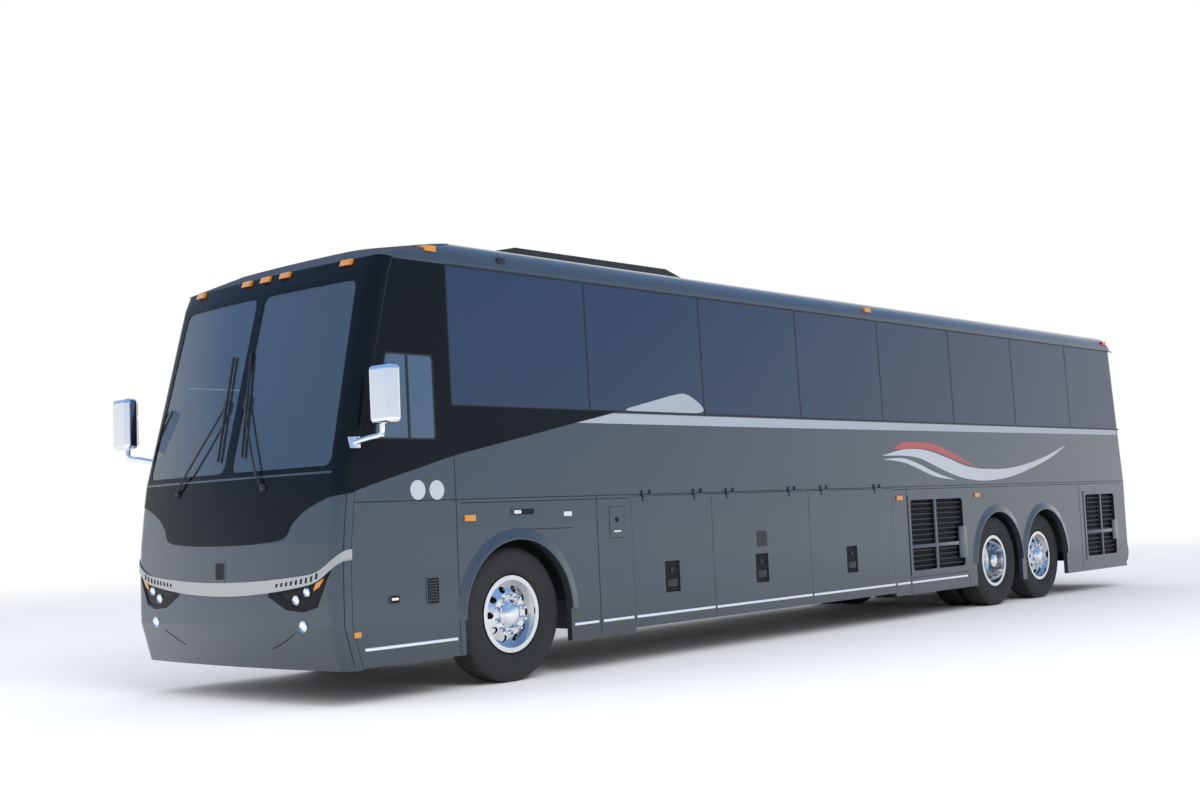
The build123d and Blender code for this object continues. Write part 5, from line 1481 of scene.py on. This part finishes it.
@dataclass
class Grilles:
    """Painted frames and bars over the side grilles, with a dark plate behind their slats for the mesh and
    the painted shade of the space behind it.
    """

    # columns: opening, bar's X, bar's height
    rows: Plates = (
        (Patch(-2.126, -0.904, 0.479, 1.309), -1.467, 0.771),
        (Patch(-6.349, -5.368, 0.419, 1.286), -5.882, 0.765),
    )
    lap: float = 0.012
    lap_round: float = 0.020
    border: float = 0.034
    border_round: float = 0.050
    bar: float = 0.042
    bar_deep: float = 0.014
    bar_bevel: float = 0.006
    bar_step: float = 0.001
    proud: float = 0.007
    lift: float = 0.0003
    mesh_gap: float = 0.004
    mesh_y: Flat = (-0.049, -0.043)
    mesh_bevel: float = 0.001
    # flat covers over a grille's corner
    covers: tuple[Patch, ...] = (Patch(-2.160, -1.977, 0.600, 0.960), Patch(-6.372, -6.215, 0.640, 0.900))
    cover_y: Flat = (-0.010, 0.011)
    cover_bevel: float = 0.008

    def build(self) -> None:
        """Fit both grilles of both sides."""
        frames, mesh = Mould(), Mould()
        y, half, gap = SHELL.half_width, self.bar / 2, self.mesh_gap
        back, face = y - self.bar_deep, y + self.proud
        mesh_back, mesh_face = (y + off for off in self.mesh_y)
        cover_back, cover_face = (y + off for off in self.cover_y)
        for hole, x, z in self.rows:
            rim = hole.outline(self.lap_round, self.lap)
            opening = hole.outline(self.border_round, -self.border)
            frames.wrap(rim, SHELL.side, self.lift, self.proud, [opening])
            frames.block((x - half, back, hole.foot), (x + half, face, hole.head), self.bar_bevel)
            level_face = face - self.bar_step
            frames.block((hole.start, back, z - half), (hole.end, level_face, z + half), self.bar_bevel)
            mesh.block((hole.start + gap, mesh_back, hole.foot + gap),
                       (hole.end - gap, mesh_face, hole.head - gap), self.mesh_bevel)
        for cover in self.covers:
            frames.block((cover.start, cover_back, cover.foot), (cover.end, cover_face, cover.head),
                         self.cover_bevel)
        frames.both_sides().piece("grille_frames", PAINT)
        mesh.both_sides().piece("grille_mesh_shade", JOINT_AND_SHADE_BLACK)


@dataclass
class Tail:
    """Louvres, lamp rings, blank plate and joints on the rear."""

    louvre_y: Flat = (0.120, 0.800)
    louvre_z: Flat = (0.900, 1.250)
    louvres: int = 8
    # the slots are dark films of painted shade between the slats
    # foot and head in shares of the louvres' pitch, distance off the skin and thickness
    slot: tuple[float, ...] = (0.0, 0.62, 0.0002, 0.0012)
    slat: tuple[float, ...] = (0.50, 0.72, 0.001, 0.012)
    plate: Patch = Patch(-0.150, 0.150, 0.685, 0.835)
    plate_film: Flat = (0.0004, 0.0025)
    lamp: RoundLamp = RoundLamp(
        (-1, 0, 0), ((1, 0), (1, 0.012), (0.9, 0.016), (0.84, 0.010), (0.84, 0)),
        lens=0.83, foot=0.006, rise=0.010 / 0.062, turns=(0.0, 0.4, 0.8, 1.2), sides=(36, 32),
    )
    lamp_radius: float = 0.062
    lamp_y: float = 1.042
    lamp_sunk: float = 0.004
    # columns: height, finish of the lens
    lamp_rows: tuple[tuple[float, Finish], ...] = ((1.165, RED), (0.985, AMBER), (0.805, CLEAR))
    panel: Patch = Patch(-1.060, 1.060, 2.150, 3.050)
    panel_round: float = 0.090
    panel_film: Flat = (0.0004, 0.002)
    strip: Patch = Patch(-1.15, 1.15, 0.546, 0.5555)
    strip_film: Flat = (0.0, 0.004)
    seam: Patch = Patch(0.883, 0.889, 0.58, 1.32)
    seam_film: Flat = (0.0002, 0.001)
    stop: Patch = Patch(-0.30, 0.30, 3.090, 3.125)
    stop_film: Flat = (0.0, 0.012)
    small_round: float = 0.012

    def _engine_door(self) -> None:
        """Louvres with painted shade between them, and the blank plate of the engine door."""
        low, high = self.louvre_z
        pitch = (high - low) / self.louvres
        rows = (("louvre_slot_shade", self.slot, JOINT_AND_SHADE_BLACK), ("louvre_slats", self.slat, PAINT))
        for name, (foot, head, lift, thick), finish in rows:
            louvres = Mould()
            for step in range(self.louvres):
                z = low + pitch * step
                place = Patch(*self.louvre_y, z + pitch * foot, z + pitch * head)
                louvres.wrap(place.outline(), SHELL.tail, lift, thick)
            louvres.both_sides().piece(name, finish, "engine_door")
        plate = Mould().wrap(self.plate.outline(self.small_round), SHELL.tail, *self.plate_film)
        plate.piece("blank_plate", WHITE_FILM, "engine_door")

    def _lamps(self) -> None:
        """Rings and lenses of the round lamps."""
        rings, lenses = Mould(), {}
        for z, finish in self.lamp_rows:
            lenses[finish] = Mould()
            centre = SHELL.tail(self.lamp_y, z, -self.lamp_sunk)
            self.lamp.add(rings, lenses[finish], centre, self.lamp_radius)
        rings.both_sides().piece("tail_lamp_rings", CHROME)
        for finish, lens in lenses.items():
            lens.both_sides().piece(f"tail_lamp_{finish.name}", finish)

    def build(self) -> None:
        """Dress the rear."""
        self._engine_door()
        self._lamps()
        outline = self.panel.outline(self.panel_round)
        panel = Mould().wrap(outline, SHELL.tail, *self.panel_film, columns=bow_columns(10))
        panel.piece("rear_gloss_panel", BLACK_GLOSS)
        seams = Mould().wrap(self.seam.outline(), SHELL.tail, *self.seam_film).both_sides()
        seams.wrap(self.strip.outline(), SHELL.tail, *self.strip_film, columns=bow_columns(11))
        seams.piece("rear_seams", JOINT_AND_SHADE_BLACK)
        outline = self.stop.outline(self.small_round)
        stop = Mould().wrap(outline, SHELL.tail, *self.stop_film, columns=bow_columns(2))
        stop.piece("high_stop_lamp", RED)


@dataclass
class Wheel:
    """Tyre with its tread and the bright fittings of one wheel."""

    axle: str
    side: str
    x: float
    y: float
    tyre_radius: float = 0.522
    tyre_width: float = 0.292
    twin_pitch: float = 0.345
    # lower wall, columns: radius, distance inwards of the tyre's widest place
    lower_wall: Outline = (
        (0.2765, 0.046), (0.304, 0.046), (0.314, 0.030), (0.318, 0.030), (0.322, 0.024), (0.368, 0.005),
        (0.372, 0.003), (0.378, 0.003), (0.382, 0.004),
    )
    # upper wall, columns: depth under the tread, distance inwards
    upper_wall: Outline = (
        (0.095, 0.0), (0.052, 0.006), (0.030, 0.012), (0.012, 0.024), (0.003, 0.038),
    )
    shoulder: float = 0.042
    groove: float = 0.014
    groove_halves: Flat = (0.008, 0.005)
    grooves: int = 4
    nuts: int = 10
    nut_circle: float = 0.142
    nut_radius: float = 0.017
    # columns: share of the nut's radius, distance along its axis
    nut: Outline = (
        (0, 0.046), (0.55, 0.044), (0.9, 0.034), (1, 0.012), (1.3, 0.006), (1.3, -0.001), (0, -0.001),
    )
    cap: Outline = (
        (0, 0.022), (0.03, 0.021), (0.055, 0.016), (0.074, 0.006), (0.080, -0.004), (0.080, -0.012),
        (0, -0.012),
    )
    # outer face of the disc from the tyre's middle, on a single wheel and on twins
    disc_face: Flat = (0.096, -0.1485)

    def _tyre_profile(self) -> list[Flat]:
        """Section of the tyre: beads, bulged walls with rings, shoulders and grooved tread.

        Returns:
            Rows of radius and distance along the axle.
        """
        half = self.tyre_width / 2
        wall = [(radius, inwards - half) for radius, inwards in self.lower_wall]
        wall += [(self.tyre_radius - depth, inwards - half) for depth, inwards in self.upper_wall]
        tread = []
        span = self.tyre_width - 2 * self.shoulder
        floor = self.tyre_radius - self.groove
        edge, foot = self.groove_halves
        for index in range(self.grooves):
            middle = -span / 2 + span * (index + 0.5) / self.grooves
            tread += [(self.tyre_radius, middle - edge), (floor, middle - foot),
                      (floor, middle + foot), (self.tyre_radius, middle + edge)]
        return [*wall, *tread, *[(radius, -along) for radius, along in reversed(wall)]]

    def build(self) -> None:
        """Turn the tyre and fit nuts and caps."""
        sign = SIDES[self.side]
        body = f"{self.axle}_wheel_{self.side}"
        low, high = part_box(f"{self.axle}_rim_{self.side}")
        outer = high.y if sign > 0 else low.y
        twin = self.axle == "drive"
        tyre = Mould()
        for offset in (0.0, self.twin_pitch) if twin else (0.0,):
            centre = (self.x, sign * (self.y - offset), self.tyre_radius)
            tyre.lathe(self._tyre_profile(), centre, (0, 1, 0), 96, closed=True)
        tyre.piece(f"{self.axle}_tread_{self.side}", RUBBER, body, (f"{self.axle}_tyre_{self.side}",))
        fittings = Mould()
        profile = [(self.nut_radius * share, along) for share, along in self.nut]
        face = sign * (self.y + self.disc_face[twin])
        for index in range(self.nuts):
            turn = math.tau * (index + 0.5) / self.nuts
            spot = (self.x + self.nut_circle * math.cos(turn), face,
                    self.tyre_radius + self.nut_circle * math.sin(turn))
            fittings.lathe(profile, spot, (0, sign, 0), 16)
        fittings.lathe(self.cap, (self.x, outer, self.tyre_radius), (0, sign, 0), 40)
        fittings.piece(f"{self.axle}_nuts_{self.side}", CHROME, body)


@dataclass
class Mirrors:
    """Mirror glasses with their dark frames on the backs of the bright heads, and sleeves of the arms."""

    deep: float = 0.120
    y: float = 1.520
    z: float = 2.165
    # columns: side, X of the head, X of the arm's root
    rows: tuple[tuple[int, float, float], ...] = ((1, 6.500, 6.590), (-1, 6.730, 6.600))
    # arm from its root to the head, columns: share of the way along the coach, Y, height
    arm: tuple[Point, ...] = (
        (0.0, 1.284, 1.840), (0.5, 1.385, 1.866), (1.0, 1.466, 1.890), (1.0, 1.480, 1.965),
    )
    sleeve: float = 0.021
    # foot and head of each glass's frame from the head's middle
    frames: Outline = ((-0.175, 0.045), (0.060, 0.175))
    frame_half: float = 0.092
    frame_x: Flat = (-0.006, 0.010)
    frame_bevel: float = 0.005
    rim: float = 0.010
    glass_x: Flat = (-0.0075, -0.004)
    glass_bevel: float = 0.001

    def build(self) -> None:
        """Fit both mirrors."""
        frames, glasses, sleeves = Mould(), Mould(), Mould()
        half, rim = self.frame_half, self.rim
        for side, x, root_x in self.rows:
            line = [(root_x + (x - root_x) * share, side * y, z) for share, y, z in self.arm]
            sleeves.tube(smooth_path(line, 5), self.sleeve, 18)
            back, y = x - self.deep / 2, side * self.y
            frame_back, frame_face = (back + off for off in self.frame_x)
            glass_back, glass_face = (back + off for off in self.glass_x)
            for foot, head in self.frames:
                low, high = self.z + foot, self.z + head
                frames.block((frame_back, y - half, low), (frame_face, y + half, high), self.frame_bevel)
                glasses.block((glass_back, y - half + rim, low + rim),
                              (glass_face, y + half - rim, high - rim), self.glass_bevel)
        frames.piece("mirror_frames", PLASTIC)
        glasses.piece("mirror_glasses", CHROME)
        sleeves.piece("mirror_arm_sleeves", CHROME)


@dataclass
class Cabin:
    """Upholstered seats in place of the plain seat solids."""

    rows: int = 13
    pitch: float = 0.830
    first_x: float = 4.650
    seat_y: float = 0.715
    single: float = 0.470
    floor_z: float = 1.450
    platform_z: float = 1.180
    driver_x: float = 5.960
    driver_y: float = 0.640
    rake: Matrix = Matrix.Rotation(math.radians(-14), 3, "Y").freeze()
    # place of the cushion, of the back's foot and of the back shell's middle: X, height
    cushion_at: Flat = (0.0, 0.42)
    back_at: Flat = (-0.20, 0.60)
    shell_at: Flat = (-0.275, 0.76)
    # rolls of the back and the headrest, measured up along it
    rolls: int = 3
    roll_pitch: float = 0.200
    roll_taper: float = 0.005
    head_up: float = 0.560
    # columns: length, width and height, how square, crown, divisions
    cushion: Pad = ((0.48, 0.45, 0.13), 5.0, 0.25, 7)
    roll: Pad = ((0.13, 0.45, 0.215), 4.5, 0.0, 6)
    headrest: Pad = ((0.12, 0.30, 0.14), 4.0, 0.0, 5)
    shell: Pad = ((0.05, 0.44, 0.62), 6.0, 0.0, 5)
    # blocks under and between the seats, columns: lowest corner, highest corner, bevel, its runs
    pair_frame: Blocks = (
        ((-0.18, -0.05, 0.0), (0.12, 0.05, 0.36), 0.01, 2),
        ((-0.2, -0.46, 0.33), (0.2, 0.46, 0.36), 0.008, 2),
        ((-0.22, -0.492, 0.58), (0.16, -0.448, 0.62), 0.012, 3),
        ((-0.22, 0.448, 0.58), (0.16, 0.492, 0.62), 0.012, 3),
    )
    driver_frame: Blocks = (((-0.18, -0.10, 0.0), (0.12, 0.10, 0.36), 0.01, 2),)

    def _seat(self, cloth: Mould, heads: Mould, trim: Mould, y: float) -> None:
        """One seat at the origin of its row: cushion, back with rolls, headrest and back shell.

        Args:
            cloth: Mould of the cloth.
            heads: Mould of the headrests.
            trim: Mould of the hard covers.
            y: Middle of the seat across the coach.
        """
        (x, z), (back_x, back_z), (shell_x, shell_z) = self.cushion_at, self.back_at, self.shell_at
        foot = Vector((back_x, y, back_z))
        cloth.pad((x, y, z), *self.cushion)
        (deep, wide, tall), *form = self.roll
        for step in range(self.rolls):
            centre = foot + self.rake @ Vector((0, 0, self.roll_pitch * step))
            cloth.pad(centre, (deep, wide, tall - self.roll_taper * step), *form, self.rake)
        heads.pad(foot + self.rake @ Vector((0, 0, self.head_up)), *self.headrest, self.rake)
        trim.pad((shell_x, y, shell_z), *self.shell, self.rake)

    def _group(self, middles: Sequence[float], blocks: Blocks,
               places: Sequence[Matrix]) -> list[Mould]:
        """Seats side by side on one frame, at every place.

        Args:
            middles: Middle of each seat across the coach, from the frame's own.
            blocks: Blocks of the frame.
            places: Where the frames stand.

        Returns:
            Moulds of the cloth, the headrests and the hard parts.
        """
        moulds = [Mould(), Mould(), Mould()]
        for y in middles:
            self._seat(*moulds, y)
        for block in blocks:
            moulds[-1].block(*block)
        return [mould.repeat(*places) for mould in moulds]

    def build(self) -> None:
        """Fill the cabin."""
        half = self.single / 2
        places = [Matrix.Translation((self.first_x - row * self.pitch, y, self.floor_z))
                  for row in range(self.rows) for y in (self.seat_y, -self.seat_y)]
        cloth, heads, trim = self._group((-half, half), self.pair_frame, places)
        cloth.piece("seat_cushions", CLOTH, replaced=("seats",))
        heads.piece("seat_headrests", LEATHER)
        trim.piece("seat_frames", PLASTIC)
        place = Matrix.Translation((self.driver_x, self.driver_y, self.platform_z))
        cloth, heads, trim = self._group((0.0,), self.driver_frame, [place])
        cloth.piece("driver_cushions", CLOTH)
        heads.piece("driver_headrest", LEATHER)
        trim.piece("driver_seat_frame", PLASTIC)


@dataclass
class Studio:
    """Pale floor, soft lamps, plain sky and the camera."""

    eye: Point = (13.071, 9.411, 1.266)
    yaw: float = -138.171
    pitch: float = 4.456
    roll: float = -2.432
    focal: float = 1462.2
    image_width: float = 1200.0
    sensor: float = 36.0
    far: float = 500.0
    floor_half: float = 150.0
    fade: Flat = (12.0, 30.0)
    # columns: direction, where the blue starts and is full along it, its least and most share
    sky_rows: tuple[tuple[Point, Flat, Flat], ...] = (
        ((0.46, 0.46, 0.76), (-0.26, 0.06), (0.0, 1.0)), ((0.0, 0.0, 1.0), (0.03, 0.34), (0.22, 1.0)),
    )
    sky_blue: Rgb = (0.26, 0.46, 0.82)
    sky_light: Rgb = (0.84, 0.86, 0.90)
    # soft boxes, columns: name, where it stands, where it points, length of its side, power in watts
    soft_boxes: tuple[tuple[str, Point, Point, float, float], ...] = (
        ("key", (8.0, 14.0, 12.0), (0.0, 0.0, 1.0), 10.0, 1500.0),
        ("nose_fill", (18.0, -4.0, 7.0), (5.0, 0.0, 1.5), 8.0, 500.0),
    )

    def _camera(self) -> None:
        """Camera at the photograph's viewing angle."""
        yaw, pitch, roll = (math.radians(turn) for turn in (self.yaw, self.pitch, self.roll))
        ahead = Vector((math.cos(yaw) * math.cos(pitch), math.sin(yaw) * math.cos(pitch), math.sin(pitch)))
        right = ahead.cross(Vector((0, 0, 1))).normalized()
        up = right.cross(ahead)
        level, tilt = math.cos(roll), math.sin(roll)
        right, up = right * level + up * tilt, up * level - right * tilt
        data = bpy.data.cameras.new("camera")
        data.sensor_fit = "HORIZONTAL"
        data.sensor_width = self.sensor
        data.lens = self.focal * self.sensor / self.image_width
        data.clip_end = self.far
        made = bpy.data.objects.new("camera", data)
        rotation = Matrix((right, up, -ahead)).transposed()
        made.matrix_world = Matrix.Translation(self.eye) @ rotation.to_4x4()
        bpy.context.scene.collection.objects.link(made)
        bpy.context.scene.camera = made

    def _lamps(self) -> None:
        """Square soft boxes that don't show in the gloss."""
        for name, spot, target, size, power in self.soft_boxes:
            data = bpy.data.lights.new(name, "AREA")
            data.size = size
            data.energy = power
            made = bpy.data.objects.new(name, data)
            made.location = spot
            made.rotation_euler = (Vector(target) - Vector(spot)).to_track_quat("-Z", "Y").to_euler()
            made.visible_glossy = False
            bpy.context.scene.collection.objects.link(made)

    def _world(self) -> None:
        """Sky that lights the coach plainly, and shows behind it and in its gloss with some blue."""
        world = bpy.data.worlds.new("sky")
        bpy.context.scene.world = world
        world.use_nodes = True
        wiring = Wiring(world.node_tree)
        place = wiring.add("TexCoord", {}).outputs["Generated"]
        shares = []
        for line, source, target in self.sky_rows:
            along = wiring.add("VectorMath", {0: place, 1: line}, operation="DOT_PRODUCT").outputs["Value"]
            shares.append(wiring.remap(along, source, target))
        sky = wiring.blend(wiring.combine("MULTIPLY", *shares), (1, 1, 1, 1), (*self.sky_blue, 1))
        rays = wiring.add("LightPath", {}).outputs
        seen = rays["Is Camera Ray"]
        for ray in ("Is Glossy Ray", "Is Transmission Ray"):
            seen = wiring.combine("MAXIMUM", seen, rays[ray])
        color = wiring.blend(seen, (*self.sky_light, 1), sky)
        wiring.feed(world.node_tree.nodes["Background"], {"Color": color})

    def _floor_material(self) -> bpy.types.Material:
        """Pale floor that keeps the coach's shadow and turns white far away.

        Returns:
            The material.
        """
        material = STUDIO_FLOOR.material()
        wiring = Wiring(material.node_tree)
        place = wiring.add("TexCoord", {}).outputs["Object"]
        reach = wiring.add("VectorMath", {0: place}, operation="LENGTH").outputs["Value"]
        fade = wiring.remap(reach, self.fade, (0.0, 1.0), interpolation_type="SMOOTHSTEP")
        near = material.node_tree.nodes["Principled BSDF"].outputs["BSDF"]
        white = wiring.add("Emission", {}).outputs["Emission"]
        mix = wiring.add("MixShader", {"Fac": fade, 1: near, 2: white})
        wiring.feed(material.node_tree.nodes["Material Output"], {"Surface": mix.outputs["Shader"]})
        return material

    def build(self) -> None:
        """Set the stage."""
        mesh = bmesh.new()
        bmesh.ops.create_grid(mesh, x_segments=1, y_segments=1, size=self.floor_half)
        data = bpy.data.meshes.new("floor")
        mesh.to_mesh(data)
        mesh.free()
        data.materials.append(self._floor_material())
        floor = bpy.data.objects.new("floor", data)
        bpy.context.scene.collection.objects.link(floor)
        self._world()
        self._lamps()
        self._camera()
        bpy.context.scene.view_settings.view_transform = "Standard"


def main() -> None:
    """Dress the coach, piece by piece."""
    logging.basicConfig(level=logging.INFO, format="%(message)s")
    for assembly in (Coachwork, SideGlazing, SideGraphics, Nose, PanelSeams, SideTrim, Grilles, Tail):
        assembly().build()
    for axle, (x, y) in WHEEL_PLACES.items():
        for side in SIDES:
            Wheel(axle, side, x, y).build()
    for assembly in (Mirrors, Cabin, Studio):
        assembly().build()


if __name__ == "__main__":
    main()
